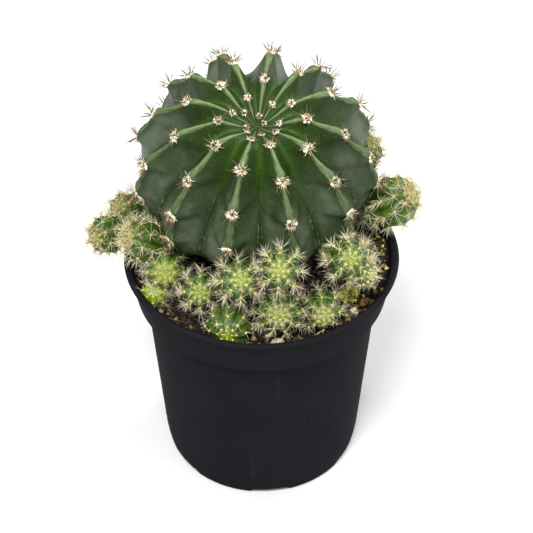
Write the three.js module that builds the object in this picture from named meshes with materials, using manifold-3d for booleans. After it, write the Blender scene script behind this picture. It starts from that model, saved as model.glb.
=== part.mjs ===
// A globe cactus with its ring of pups in a round nursery pot. Millimetres, +Z up.
// The origin is the middle of the pot's underside, and -Y is the side that the crown leans to.
import * as THREE from "three";
import { mergeVertices } from "three/addons/utils/BufferGeometryUtils.js";
import Module from "manifold-3d";

const wasm = await Module();
wasm.setup();

// ---------------------------------------------------------------- driving dimensions
const GAP = 0.3; // clearance between pieces that touch
const DEG = Math.PI / 180;

const POT = {
  height: 109,
  rim: 60, // outer radius of the lip
  lipHeight: 2.6,
  collarTop: 58.4, // outer radius of the collar under the lip
  collarFoot: 55.2, // and at its lower edge
  collarDepth: 19.7,
  wallTop: 51.1, // outer radius of the tapered wall
  wallFoot: 44.6,
  chamferHeight: 7.5,
  foot: 42.9, // outer radius of the standing ring
  wall: 1.4,
  ringWidth: 4,
  recess: 2, // the floor between ring and middle pad stands this far off the table
  pad: 13, // radius of the flat pad in the middle of the underside
  drains: 6,
  drainRadius: 4,
  drainCircle: 26,
  notchWidth: 18,
  notchHeight: 1.6,
  notchTurn: -84.4 * DEG, // direction of the first notch in the standing ring
  sides: 36,
};
// The soil heaps up round the foot of the main stem, which stands behind the middle.
const SOIL = { edge: 101, heap: 8.5, heapAt: [-2, 22], spread: 30, wave: 0.6, rings: 3 };

const STEM = {
  centre: new THREE.Vector3(-2.2, 12.3, 147.8),
  leanForward: 15.8 * DEG, // about X, towards -Y
  leanAside: 1.45 * DEG, // about Y, towards +X
  radius: 51.5, // over the rib crests
  crown: 41, // centre to crown, before the hollow
  hollow: 14.8,
  hollowSpread: 0.295, // radians
  under: 40, // centre to the bottom of the globe
  base: 27, // radius of the short foot in the soil
  baseEnd: -56, // its lowest point along the axis
  baseTip: 0.75, // radius of its rounded end, as a share of its own
  furrow: 14.5, // depth between two ribs, down to the shoulder of the globe
  lowFurrow: 3.5, // and at its underside
  crownFurrow: 0.36, // most depth near the crown, as a share of the crest's radius
  rings: 15,
};
// Direction of each rib, in degrees. They grew unevenly round the globe.
const RIB_TURNS = [82, 52.5, 24, -9, -40, -72, -103, -134, -164, -192, -220, -248];
// Where across half a rib, from crest (0) to furrow (1), the faceted form has its edges.
const RIB_EDGES = [-0.45, -0.08, 0.08, 0.45, 1];
// Polar angle of the topmost areole on each rib, in degrees, and its step to the next one, which
// widens a little down the rib.
const FIRST_AREOLE = [20, 11, 17, 23, 11, 19.5, 13, 7, 19, 12, 22.5, 12.5];
const AREOLE_STEP = [25, 21, 22.6, 21.5, 20.2, 21, 21, 21, 23.4, 23.2, 23.8, 20.5];
const STEP_GROWTH = 1.05;
const LAST_AREOLE = 112;
const AREOLE = {
  pad: 1.9, // radius of the wool pad
  padHeight: 1.1,
  spines: 3,
  spine: 4.6,
  fan: 42 * DEG, // how far the spines spread from the pad's own direction
  thickness: 0.42,
};
const SUNK = 1.5; // how deep a spine's root sits in what it grows from
const ROOM = 0.9; // least distance of a spine from any other node, by the rough test

const PUP = {
  ribs: 8,
  furrow: 0.13, // share of its radius
  tailFrom: 0.82, // radius of its tail at its middle, as a share of its own
  tailTo: 0.38, // and where it grows from its parent
  rings: 6,
  needles: 7,
  needle: 4,
  thickness: 0.33,
};
// Each pup: middle, radius, length over width, where its crown points, and what it grows from.
const PUPS = [
  { at: [7.7, -45.2, 138], radius: 8.5, stretch: 1.1, crown: [-0.06, -0.77, 0.64], root: "stem" },
  { at: [-9.1, -44, 131.5], radius: 8.7, stretch: 1.1, crown: [0.08, -0.74, 0.66], root: "stem" },
  { at: [-25.3, -33.2, 115.8], radius: 8, stretch: 1.1, crown: [-0.02, -0.81, 0.58], root: "soil" },
  { at: [7.2, -43, 114], radius: 9.8, stretch: 1.1, crown: [0, -0.87, 0.5], root: "soil" },
  { at: [24.8, -37.8, 109.6], radius: 8.6, stretch: 1.25, crown: [0.12, -0.9, 0.42], root: "soil" },
  { at: [-13.4, -45, 107.3], radius: 9.3, stretch: 1, crown: [-0.09, -0.97, 0.21], root: "soil" },
  { at: [-40.6, -18, 113.2], radius: 9.2, stretch: 1.1, crown: [0, -0.8, 0.6], root: "soil" },
  { at: [-45, -21.8, 104.2], radius: 5.5, stretch: 1.1, crown: [-0.11, -0.63, 0.76], root: "soil" },
  { at: [-49.5, -10.8, 124], radius: 8.8, stretch: 1.3, crown: [-0.66, -0.46, 0.59], root: "stem" },
  { at: [-59.1, 16.3, 118.2], radius: 7.8, stretch: 1.15, crown: [-0.41, -0.51, 0.76], root: "stem" },
  { at: [-66.6, 2.9, 116], radius: 8.4, stretch: 1.15, crown: [-0.57, -0.71, 0.41], root: "stem" },
  { at: [36, -33, 132.8], radius: 8.8, stretch: 1.05, crown: [0.07, -0.71, 0.7], root: "stem" },
  { at: [56.7, 11.6, 127], radius: 10.9, stretch: 1.15, crown: [0.7, -0.25, 0.67], root: "stem" },
  { at: [44.8, 38.8, 133], radius: 8.6, stretch: 1.1, crown: [0.33, -0.27, 0.9], root: "stem" },
  { at: [-44, 40, 122], radius: 9.4, stretch: 1.15, crown: [-0.6, 0.45, 0.66], root: "stem" },
  { at: [-20, 57, 124], radius: 8.7, stretch: 1.1, crown: [-0.3, 0.75, 0.6], root: "stem" },
  { at: [8, 59, 121.5], radius: 9.6, stretch: 1.1, crown: [0.1, 0.85, 0.5], root: "stem" },
  { at: [33, 50, 123], radius: 9, stretch: 1.2, crown: [0.5, 0.6, 0.62], root: "stem" },
  // Three more stand under the outer ring, where the others shade them.
  { at: [39, -8, 112], radius: 8.6, stretch: 1.1, crown: [0.45, -0.3, 0.82], root: "soil" },
  { at: [-10, -25.5, 112.5], radius: 8, stretch: 1.05, crown: [0.05, -0.6, 0.8], root: "soil" },
  { at: [-47, 14, 109.5], radius: 7.4, stretch: 1.05, crown: [-0.5, 0.1, 0.86], root: "soil" },
];
// A side bud on the right-hand pup (index 11), grown together with it.
const BUD = {
  parent: 11,
  at: [42.8, -35.8, 128.2],
  radius: 5,
  stretch: 1.1,
  crown: [0.55, -0.72, 0.42],
  root: "stem",
};

const STONES = [
  { name: "stone_front", at: [6.5, -50.4], size: [3.4, 2, 1.8], turn: 0.2, colour: 0xb9ad84 },
  { name: "stone_right", at: [39, -31.5], size: [2.4, 2, 1.7], turn: 0.8, colour: 0xc9bd97 },
  { name: "bark_chip", at: [44, -25], size: [3.2, 1.7, 1.1], turn: 0.9, colour: 0x9a5a22 },
  { name: "moss_clump", at: [37.3, -20.3], size: [5.8, 3.8, 2.4], turn: -0.62, colour: 0xa3a94f },
];

// ---------------------------------------------------------------- shared helpers
const UP = new THREE.Vector3(0, 1, 0); // axis of the cone and lathe geometries

/** Numbers from 0 to 1 in a fixed order. */
function seeded(seed) {
  let state = seed;
  return () => {
    state = (state * 1664525 + 1013904223) % 4294967296;
    return state / 4294967296;
  };
}

/** A closed geometry as a solid: shared vertices merged, collapsed triangles left out. */
function solid(geometry, matrix = new THREE.Matrix4()) {
  const bare = geometry.clone().applyMatrix4(matrix);
  bare.deleteAttribute("normal");
  bare.deleteAttribute("uv");
  const merged = mergeVertices(bare, 1e-4);
  const index = merged.index.array;
  const faces = [];
  for (let i = 0; i < index.length; i += 3) {
    const [a, b, c] = [index[i], index[i + 1], index[i + 2]];
    if (a !== b && b !== c && a !== c) faces.push(a, b, c);
  }
  return new wasm.Manifold(
    new wasm.Mesh({
      numProp: 3,
      vertProperties: merged.attributes.position.array,
      triVerts: new Uint32Array(faces),
    }),
  );
}

function geometryOf(body) {
  const mesh = body.getMesh();
  const geometry = new THREE.BufferGeometry();
  geometry.setAttribute("position", new THREE.BufferAttribute(mesh.vertProperties, 3));
  geometry.setIndex(new THREE.BufferAttribute(mesh.triVerts, 1));
  geometry.computeVertexNormals();
  return geometry;
}

/** A closed form from rings of points between two poles, the first pole at the top. */
function ringedForm(top, rings, bottom) {
  const around = rings[0].length;
  const points = [top, ...rings.flat(), bottom];
  const at = (ring, k) => 1 + ring * around + (k % around);
  const faces = [];
  for (let k = 0; k < around; k++) {
    faces.push(0, at(0, k), at(0, k + 1));
    for (let r = 0; r + 1 < rings.length; r++) {
      faces.push(at(r, k), at(r + 1, k), at(r + 1, k + 1));
      faces.push(at(r, k), at(r + 1, k + 1), at(r, k + 1));
    }
    faces.push(points.length - 1, at(rings.length - 1, k + 1), at(rings.length - 1, k));
  }
  const geometry = new THREE.BufferGeometry().setFromPoints(points);
  geometry.setIndex(faces);
  return geometry;
}

/** The turn and place of a piece that is made upright along its own Y. */
function along(place, direction) {
  const turn = new THREE.Quaternion().setFromUnitVectors(UP, direction);
  return new THREE.Matrix4().compose(place, turn, new THREE.Vector3(1, 1, 1));
}

/** A three-sided needle whose root is sunk below its foot point. */
function needle(foot, direction, length, thickness) {
  const cone = new THREE.ConeGeometry(thickness, length + SUNK, 3, 1);
  cone.translate(0, (length - SUNK) / 2, 0);
  return solid(cone, along(foot, direction));
}

/** Depth share across half a rib: round at the crest, steep beside it, level towards the furrow. */
function furrowShare(u) {
  const [round, hollowness] = [0.1, 1.8];
  const away = (Math.hypot(u, round) - round) / (Math.hypot(1, round) - round);
  return 1 - Math.pow(1 - away, hollowness);
}

function material(colour, roughness) {
  return new THREE.MeshStandardMaterial({ color: colour, roughness, metalness: 0 });
}

// ---------------------------------------------------------------- pot
/** Outer radius of the pot's side at height z. */
function potOutside(z) {
  const collarFootZ = POT.height - POT.collarDepth;
  if (z > collarFootZ) {
    const share = (z - collarFootZ) / (POT.collarDepth - POT.lipHeight);
    return POT.collarFoot + (POT.collarTop - POT.collarFoot) * Math.min(share, 1);
  }
  const share = (z - POT.chamferHeight) / (collarFootZ - POT.chamferHeight);
  return POT.wallFoot + (POT.wallTop - POT.wallFoot) * Math.max(share, 0);
}

function potProfile() {
  const p = POT;
  const collarFootZ = p.height - p.collarDepth;
  const lipZ = p.height - p.lipHeight;
  const floorZ = p.recess + p.wall;
  return [
    [0, 0],
    [p.pad, 0],
    [p.pad + 1.5, p.recess],
    [p.foot - p.ringWidth - 1, p.recess],
    [p.foot - p.ringWidth, 0],
    [p.foot, 0],
    [p.wallFoot, p.chamferHeight],
    [p.wallTop, collarFootZ - 0.6],
    [p.collarFoot - 0.9, collarFootZ - 0.2],
    [p.collarFoot, collarFootZ + 0.8],
    [p.collarTop, lipZ],
    [p.rim, lipZ + 0.4],
    [p.rim, p.height - 1],
    [p.rim - 1, p.height],
    [p.collarTop - p.wall, p.height - 1],
    [potOutside(collarFootZ + p.wall) - p.wall, collarFootZ + p.wall],
    [p.wallTop - p.wall, collarFootZ],
    [p.wallFoot - p.wall, p.chamferHeight],
    [p.foot - p.wall - 1, floorZ],
    [0, floorZ],
  ].map(([r, z]) => new THREE.Vector2(r, z));
}

const lieUp = new THREE.Matrix4().makeRotationX(Math.PI / 2); // the lathe's Y becomes Z

function makePot() {
  const lathe = new THREE.LatheGeometry(potProfile(), POT.sides);
  let body = solid(lathe, lieUp);
  const hole = new THREE.CylinderGeometry(POT.drainRadius, POT.drainRadius, 12, 8);
  const notch = new THREE.CylinderGeometry(1, 1, 16, 12);
  for (let k = 0; k < POT.drains; k++) {
    const turn = POT.notchTurn + (k * 2 * Math.PI) / POT.drains;
    const half = turn + Math.PI / POT.drains;
    const x = POT.drainCircle * Math.cos(half);
    const y = POT.drainCircle * Math.sin(half);
    const drill = new THREE.Matrix4().makeTranslation(x, y, POT.recess).multiply(lieUp);
    // A low arch: a cylinder squashed across, lying along the radius through the ring.
    const arch = new THREE.Matrix4()
      .makeRotationZ(turn)
      .multiply(new THREE.Matrix4().makeTranslation(POT.foot, 0, 0))
      .multiply(new THREE.Matrix4().makeRotationZ(-Math.PI / 2))
      .multiply(new THREE.Matrix4().makeScale(POT.notchWidth / 2, 1, POT.notchHeight));
    body = body.subtract(solid(hole, drill)).subtract(solid(notch, arch));
  }
  return body;
}

// ---------------------------------------------------------------- soil
function soilTop(x, y) {
  const rim = Math.pow(Math.hypot(x, y) / POT.collarFoot, 2);
  const away = Math.hypot(x - SOIL.heapAt[0], y - SOIL.heapAt[1]) / SOIL.spread;
  const wave = Math.sin(x * 0.21 + 1) * Math.cos(y * 0.17) + 0.6 * Math.sin(x * 0.4 + y * 0.33);
  return SOIL.edge + (SOIL.heap * Math.exp(-away * away) + SOIL.wave * wave) * (1 - rim);
}

function makeSoil() {
  const collarFootZ = POT.height - POT.collarDepth;
  const inside = (z) => potOutside(z) - POT.wall - GAP;
  const floorZ = POT.recess + POT.wall + GAP;
  const outline = [
    [inside(SOIL.edge), null],
    [inside(collarFootZ + 2 * POT.wall), collarFootZ + 2 * POT.wall],
    [inside(collarFootZ) - 0.2, collarFootZ - 0.2],
    [POT.wallFoot - POT.wall - GAP, POT.chamferHeight + GAP],
    [POT.foot - POT.wall - 1.6, floorZ],
  ];
  const ring = (r, z) =>
    Array.from({ length: POT.sides }, (_, k) => {
      const a = (k * 2 * Math.PI) / POT.sides;
      const [x, y] = [r * Math.cos(a), r * Math.sin(a)];
      return new THREE.Vector3(x, y, z ?? soilTop(x, y));
    });
  const rings = [];
  for (let k = 1; k < SOIL.rings; k++) rings.push(ring((outline[0][0] * k) / SOIL.rings, null));
  outline.forEach(([r, z]) => rings.push(ring(r, z)));
  const top = new THREE.Vector3(0, 0, soilTop(0, 0));
  return solid(ringedForm(top, rings, new THREE.Vector3(0, 0, floorZ)));
}

// ---------------------------------------------------------------- main stem
const stemPlace = new THREE.Matrix4().compose(
  STEM.centre,
  new THREE.Quaternion()
    .setFromAxisAngle(new THREE.Vector3(0, 1, 0), STEM.leanAside)
    .multiply(
      new THREE.Quaternion().setFromAxisAngle(new THREE.Vector3(1, 0, 0), STEM.leanForward),
    ),
  new THREE.Vector3(1, 1, 1),
);

/** Radius and height of a rib's crest at polar angle t, on a form grown by extra. */
function stemCrest(t, extra = 0) {
  const globe = (STEM.radius + extra) * Math.sin(t);
  if (t < Math.PI / 2) {
    const dip = STEM.hollow * Math.exp(-Math.pow(t / STEM.hollowSpread, 2));
    return [globe, (STEM.crown + extra) * Math.cos(t) - dip];
  }
  return [globe, (STEM.under + extra) * Math.cos(t)];
}

/** Depth between two ribs at polar angle t: full to 50 degrees, and shallower from there down. */
function furrowDepth(t, radius) {
  const down = Math.min(Math.max((t / DEG - 50) / 50, 0), 1);
  const depth = STEM.furrow + (STEM.lowFurrow - STEM.furrow) * down;
  return Math.min(depth, STEM.crownFurrow * radius);
}

/** Direction of a rib, or of a place between it and the next (u above 0) or the last one. */
function ribTurn(rib, u = 0) {
  const turnOf = (k) => {
    const round = Math.floor(k / RIB_TURNS.length);
    return RIB_TURNS[k - round * RIB_TURNS.length] - 360 * round;
  };
  const beside = turnOf(rib + Math.sign(u));
  return (turnOf(rib) + ((beside - turnOf(rib)) * Math.abs(u)) / 2) * DEG;
}

/** Point of the ribbed globe at polar angle t, u across half a rib (0 crest, 1 furrow). */
function stemPoint(rib, u, t, extra = 0) {
  const [radius, height] = stemCrest(t, extra);
  const depth = furrowDepth(t, radius) * furrowShare(Math.abs(u));
  const turn = ribTurn(rib, u);
  const r = radius - depth * Math.sin(Math.max(t, 0.6));
  const lower = depth * Math.cos(t) * 0.6;
  return new THREE.Vector3(r * Math.cos(turn), r * Math.sin(turn), height - lower);
}

/** The globe with its ribs, and the short foot that stands in the soil. */
function stemForm(extra = 0) {
  const neckAngle = Math.PI - Math.asin(STEM.base / STEM.radius);
  const rings = [];
  for (let k = 1; k <= STEM.rings; k++) {
    const t = neckAngle * Math.pow(k / STEM.rings, 1.15);
    const ring = [];
    for (let rib = RIB_TURNS.length - 1; rib >= 0; rib--)
      for (const u of [...RIB_EDGES].reverse()) ring.push(stemPoint(rib, u, t, extra));
    rings.push(ring);
  }
  const last = rings[rings.length - 1];
  for (const [share, height] of [
    [1, STEM.baseEnd * 0.85],
    [STEM.baseTip, STEM.baseEnd - extra],
  ])
    rings.push(last.map((p) => new THREE.Vector3(p.x * share, p.y * share, height)));
  const crownPoint = new THREE.Vector3(0, 0, stemCrest(0, extra)[1]);
  return ringedForm(crownPoint, rings, new THREE.Vector3(0, 0, STEM.baseEnd - extra));
}

/** Outward direction of a rib's crest line at polar angle t. */
function crestNormal(rib, t) {
  const step = 0.03;
  const down = stemPoint(rib, 0, t + step).sub(stemPoint(rib, 0, t - step));
  const turn = ribTurn(rib);
  const aside = new THREE.Vector3(-Math.sin(turn), Math.cos(turn), 0);
  return down.cross(aside).normalize();
}

/** Every areole of the globe: its point and its outward direction. */
function stemAreoles() {
  const found = [];
  RIB_TURNS.forEach((_, rib) => {
    const place = (k) => FIRST_AREOLE[rib] + AREOLE_STEP[rib] * Math.pow(k, STEP_GROWTH);
    for (let k = 0; place(k) < LAST_AREOLE; k++) {
      const t = place(k) * DEG;
      found.push({ point: stemPoint(rib, 0, t), normal: crestNormal(rib, t) });
    }
  });
  return found;
}

// ---------------------------------------------------------------- pups
/** The point inside the main stem or the soil that a pup grows from. */
function pupRoot(pup) {
  const [x, y, z] = pup.at;
  if (pup.root === "soil") return new THREE.Vector3(x * 0.86, y * 0.86 + 1, SOIL.edge - 4);
  const inner = new THREE.Vector3(0, 0, -22).applyMatrix4(stemPlace);
  return new THREE.Vector3(x, y, z - 3).lerp(inner, 0.62);
}

/** Point of the ribbed egg: s runs round in half ribs, odd at a furrow, t down from the crown. */
function eggPoint(pup, s, t, extra) {
  const reach = (pup.radius + extra) * Math.sin(t) * (s % 2 ? 1 - PUP.furrow : 1);
  const dip = 0.12 * pup.radius * Math.exp(-Math.pow(t / 0.35, 2));
  const turn = (s * Math.PI) / PUP.ribs;
  const height = (pup.radius * pup.stretch + extra) * Math.cos(t) - dip;
  return new THREE.Vector3(reach * Math.sin(turn), height, reach * Math.cos(turn));
}

/** A pup's form, grown by extra: an egg round its crown, and a tail that narrows to its root. */
function clubForm(pup, extra = 0) {
  const rings = [];
  for (let k = 1; k <= PUP.rings; k++) {
    const t = (Math.PI * k) / (PUP.rings + 1);
    rings.push(Array.from({ length: 2 * PUP.ribs }, (_, s) => eggPoint(pup, s, t, extra)));
  }
  const [top, bottom] = [eggPoint(pup, 0, 0, extra), eggPoint(pup, 0, Math.PI, extra)];
  const middle = new THREE.Vector3(...pup.at);
  const crown = new THREE.Vector3(...pup.crown).normalize();
  const egg = solid(ringedForm(top, rings, bottom), along(middle, crown));
  const [from, to] = [PUP.tailFrom, PUP.tailTo].map((share) => share * pup.radius + extra);
  const way = middle.clone().sub(pupRoot(pup));
  const length = way.length() + extra;
  const tail = new THREE.CylinderGeometry(from, to, length, 7);
  tail.translate(0, -length / 2, 0);
  return egg.add(solid(tail, along(middle, way.normalize())));
}

/** A pup with the side bud that has grown together with it, where it has one. */
function pupForm(i, extra = 0) {
  const body = clubForm(PUPS[i], extra);
  return i === BUD.parent ? body.add(clubForm(BUD, extra)) : body;
}

// ---------------------------------------------------------------- needles kept clear
const needlesSoFar = []; // segments of every needle placed, with the node they belong to

/** How far a point lies outside pup i, roughly, in millimetres: its egg and its tail. */
function clearOfPup(point, i) {
  const pup = PUPS[i];
  const middle = new THREE.Vector3(...pup.at);
  const tail = new THREE.Line3(middle, pupRoot(pup));
  const share = tail.closestPointToPointParameter(point, true);
  const tailRadius = pup.radius * (PUP.tailFrom + (PUP.tailTo - PUP.tailFrom) * share);
  const toTail = tail.at(share, new THREE.Vector3()).distanceTo(point) - tailRadius;
  const away = point.clone().sub(middle);
  const crown = new THREE.Vector3(...pup.crown).normalize();
  const high = away.dot(crown);
  const toEgg = away.addScaledVector(crown, high / pup.stretch - high).length() - pup.radius;
  return Math.min(toEgg, toTail);
}

function clearOfStem(point) {
  const local = point.clone().applyMatrix4(stemPlace.clone().invert());
  const polar = local.z > 0 ? STEM.crown : STEM.under;
  const share = Math.hypot(Math.hypot(local.x, local.y) / STEM.radius, local.z / polar);
  return (share - 1) * polar;
}

function clearOfPot(point) {
  const r = Math.hypot(point.x, point.y);
  if (point.z > POT.height) return Math.hypot(Math.max(0, r - POT.rim), point.z - POT.height);
  return r > POT.rim ? r - POT.rim : POT.collarFoot - POT.wall - r;
}

/** True where a needle from foot to tip crosses no other node and no other node's needle. */
function staysClear(foot, tip, owner) {
  for (const share of [0, 0.35, 0.7, 1]) {
    const point = foot.clone().lerp(tip, share);
    if (owner !== "stem" && clearOfStem(point) < ROOM) return false;
    if (clearOfPot(point) < ROOM || point.z < soilTop(point.x, point.y) + 1.5) return false;
    for (let i = 0; i < PUPS.length; i++)
      if (owner !== i && clearOfPup(point, i) < ROOM) return false;
    const bud = new THREE.Vector3(...BUD.at);
    if (owner !== BUD.parent && point.distanceTo(bud) < BUD.radius + 1) return false;
  }
  for (const other of needlesSoFar) {
    if (other.owner === owner) continue;
    for (const a of [0.3, 0.65, 1])
      for (const b of [0.3, 0.65, 1])
        if (foot.clone().lerp(tip, a).distanceTo(other.foot.clone().lerp(other.tip, b)) < 1.2)
          return false;
  }
  needlesSoFar.push({ foot, tip, owner });
  return true;
}

/** Any unit vector square to the given one. */
function square(direction) {
  const helper = Math.abs(direction.z) < 0.9 ? new THREE.Vector3(0, 0, 1) : UP.clone();
  return helper.cross(direction).normalize();
}

/** The globe with a wool pad and a fan of spines on each areole. */
function makeStem() {
  const draw = seeded(12);
  let body = solid(stemForm(), stemPlace);
  const pad = new THREE.ConeGeometry(AREOLE.pad, 2 * AREOLE.padHeight, 4, 1);
  for (const { point, normal } of stemAreoles()) {
    const foot = point.clone().applyMatrix4(stemPlace);
    const out = normal.clone().transformDirection(stemPlace);
    if (PUPS.every((_, i) => clearOfPup(foot, i) > AREOLE.pad + 1))
      body = body.add(solid(pad, along(foot, out)));
    const aside = square(out);
    const start = draw() * Math.PI;
    for (let k = 0; k < AREOLE.spines; k++) {
      const round = start + (k * 2 * Math.PI) / AREOLE.spines;
      const lean = aside.clone().applyAxisAngle(out, round).multiplyScalar(Math.sin(AREOLE.fan));
      const way = lean.addScaledVector(out, Math.cos(AREOLE.fan)).normalize();
      const length = AREOLE.spine * (0.8 + 0.4 * draw());
      const tip = foot.clone().addScaledVector(way, length);
      if (staysClear(foot, tip, "stem"))
        body = body.add(needle(foot, way, length, AREOLE.thickness));
    }
  }
  return body;
}

/** A pup trimmed against what it is pressed to, with needles all over its open side. */
function makePup(i, pressedTo) {
  const draw = seeded(100 + i);
  const pup = PUPS[i];
  let body = pupForm(i);
  for (const other of pressedTo) body = body.subtract(other);
  const crown = new THREE.Vector3(...pup.crown).normalize();
  const aside = square(crown);
  const golden = 0.381966;
  for (let k = 0; k < PUP.needles; k++) {
    const t = Math.acos(1 - (1.25 * (k + 0.5)) / PUP.needles);
    const rib = Math.round(k * golden * PUP.ribs + draw() * 0.3);
    const turn = (rib * 2 * Math.PI) / PUP.ribs;
    const out = aside.clone().applyAxisAngle(crown, turn).multiplyScalar(Math.sin(t));
    const foot = new THREE.Vector3(...pup.at).addScaledVector(out, pup.radius);
    foot.addScaledVector(crown, pup.radius * pup.stretch * Math.cos(t));
    out.addScaledVector(crown, Math.cos(t) / pup.stretch).normalize();
    const tip = foot.clone().addScaledVector(out, PUP.needle);
    if (staysClear(foot, tip, i))
      body = body.add(needle(foot, out, PUP.needle, PUP.thickness));
  }
  return body;
}

// ---------------------------------------------------------------- loose bits on the soil
function makeStone({ at, size, turn }) {
  const lump = new THREE.IcosahedronGeometry(1, 0);
  const [x, y] = at;
  const z = soilTop(x, y) + size[2] * 0.55;
  return solid(
    lump,
    new THREE.Matrix4().compose(
      new THREE.Vector3(x, y, z),
      new THREE.Quaternion().setFromAxisAngle(new THREE.Vector3(0, 0, 1), turn),
      new THREE.Vector3(...size),
    ),
  );
}

// ---------------------------------------------------------------- assembly
const root = new THREE.Group();

function addNode(name, body, finish, parent = root) {
  const mesh = new THREE.Mesh(geometryOf(body), finish);
  mesh.name = name;
  parent.add(mesh);
}

const blackPlastic = material(0x29282d, 0.45);
const darkSoil = material(0x2b2118, 0.95);
const stemGreen = material(0x3c5a38, 0.6);
const pupGreen = material(0x5d8a3a, 0.6);

const plant = new THREE.Group();
root.add(plant);

// What presses on the stem keeps half a gap more, because the coarse facets bulge between edges.
const stemMargin = solid(stemForm(1.5 * GAP), stemPlace);
const stoneBodies = STONES.map(makeStone);

addNode("pot", makePot(), blackPlastic);
addNode("main_stem", makeStem(), stemGreen, plant);

const placed = [stemMargin];
let soil = makeSoil().subtract(stemMargin);
PUPS.forEach((_, i) => {
  addNode("pup_" + String(i + 1).padStart(2, "0"), makePup(i, placed), pupGreen, plant);
  const margin = pupForm(i, GAP);
  placed.push(margin);
  soil = soil.subtract(margin);
});
STONES.forEach((stone, k) => {
  const around = new THREE.Matrix4()
    .makeTranslation(stone.at[0], stone.at[1], 0)
    .multiply(new THREE.Matrix4().makeScale(1.15, 1.15, 1))
    .multiply(new THREE.Matrix4().makeTranslation(-stone.at[0], -stone.at[1], -GAP));
  addNode(stone.name, stoneBodies[k], material(stone.colour, 0.9));
  soil = soil.subtract(solid(geometryOf(stoneBodies[k]), around));
});
addNode("soil", soil, darkSoil);

export default root;
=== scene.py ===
"""A globe cactus with its ring of pups in a round nursery pot: surfaces, finishes, stage and camera.

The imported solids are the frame, and each operator makes a piece, or a group of like pieces, in their
place. Lengths are in metres, +Z is up, and the origin is the middle of the pot's underside.
"""

import math
from collections import namedtuple

import bpy
import numpy as np
from bpy.props import FloatProperty, FloatVectorProperty, IntProperty, PointerProperty
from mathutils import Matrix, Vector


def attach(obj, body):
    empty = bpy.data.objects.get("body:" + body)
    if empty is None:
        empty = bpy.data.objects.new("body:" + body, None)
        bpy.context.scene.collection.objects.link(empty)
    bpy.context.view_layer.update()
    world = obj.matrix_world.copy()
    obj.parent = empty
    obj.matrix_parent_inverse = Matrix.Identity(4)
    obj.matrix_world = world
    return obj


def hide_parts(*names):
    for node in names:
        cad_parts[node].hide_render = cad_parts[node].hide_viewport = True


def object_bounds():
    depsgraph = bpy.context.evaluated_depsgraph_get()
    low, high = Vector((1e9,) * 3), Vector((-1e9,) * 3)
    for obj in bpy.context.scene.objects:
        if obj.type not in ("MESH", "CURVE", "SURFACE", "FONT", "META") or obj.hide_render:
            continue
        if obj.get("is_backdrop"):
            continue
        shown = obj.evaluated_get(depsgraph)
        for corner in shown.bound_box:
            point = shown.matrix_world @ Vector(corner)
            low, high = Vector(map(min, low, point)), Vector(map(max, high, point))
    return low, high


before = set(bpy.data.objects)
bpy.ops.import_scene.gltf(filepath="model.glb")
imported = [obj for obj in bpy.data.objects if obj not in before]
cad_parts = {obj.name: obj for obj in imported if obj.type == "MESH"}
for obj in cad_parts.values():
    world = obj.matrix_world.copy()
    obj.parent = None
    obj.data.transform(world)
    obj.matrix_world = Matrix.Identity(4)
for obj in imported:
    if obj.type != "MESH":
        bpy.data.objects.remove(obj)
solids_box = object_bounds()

bl_info = {
    "name": "Potted Round Cactus",
    "version": (1, 0, 0),
    "blender": (4, 5, 0),
    "location": "View3D > Sidebar > Cactus",
    "description": "A ribbed globe cactus with pups in a round nursery pot",
    "category": "Add Mesh",
}

MM = 0.001
DEG = math.pi / 180
BODY = "root"

# ---- what the plant's solids also hold
STEM_CENTRE = np.array([-2.2, 12.3, 147.8]) * MM
LEAN_FORWARD = 15.8 * DEG  # about X, towards -Y
LEAN_ASIDE = 1.45 * DEG  # about Y, towards +X
# Direction of each rib, the polar angle of its topmost areole and its step to the next one.
RIB_TURNS = np.array([82, 52.5, 24, -9, -40, -72, -103, -134, -164, -192, -220, -248]) * DEG
FIRST_AREOLE = np.array([20, 11, 17, 23, 11, 19.5, 13, 7, 19, 12, 22.5, 12.5]) * DEG
AREOLE_STEP = np.array([25, 21, 22.6, 21.5, 20.2, 21, 21, 21, 23.4, 23.2, 23.8, 20.5]) * DEG
STEP_GROWTH = 1.05  # the k-th areole lies k^1.05 steps down its rib
LAST_AREOLE = 112 * DEG
RIBS = len(RIB_TURNS)
SHOULDER = 50  # degrees from the crown to where furrows grow shallower, over as many again
CROWN_FURROW = 0.4  # the most that a furrow takes of the crest's radius

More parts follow.
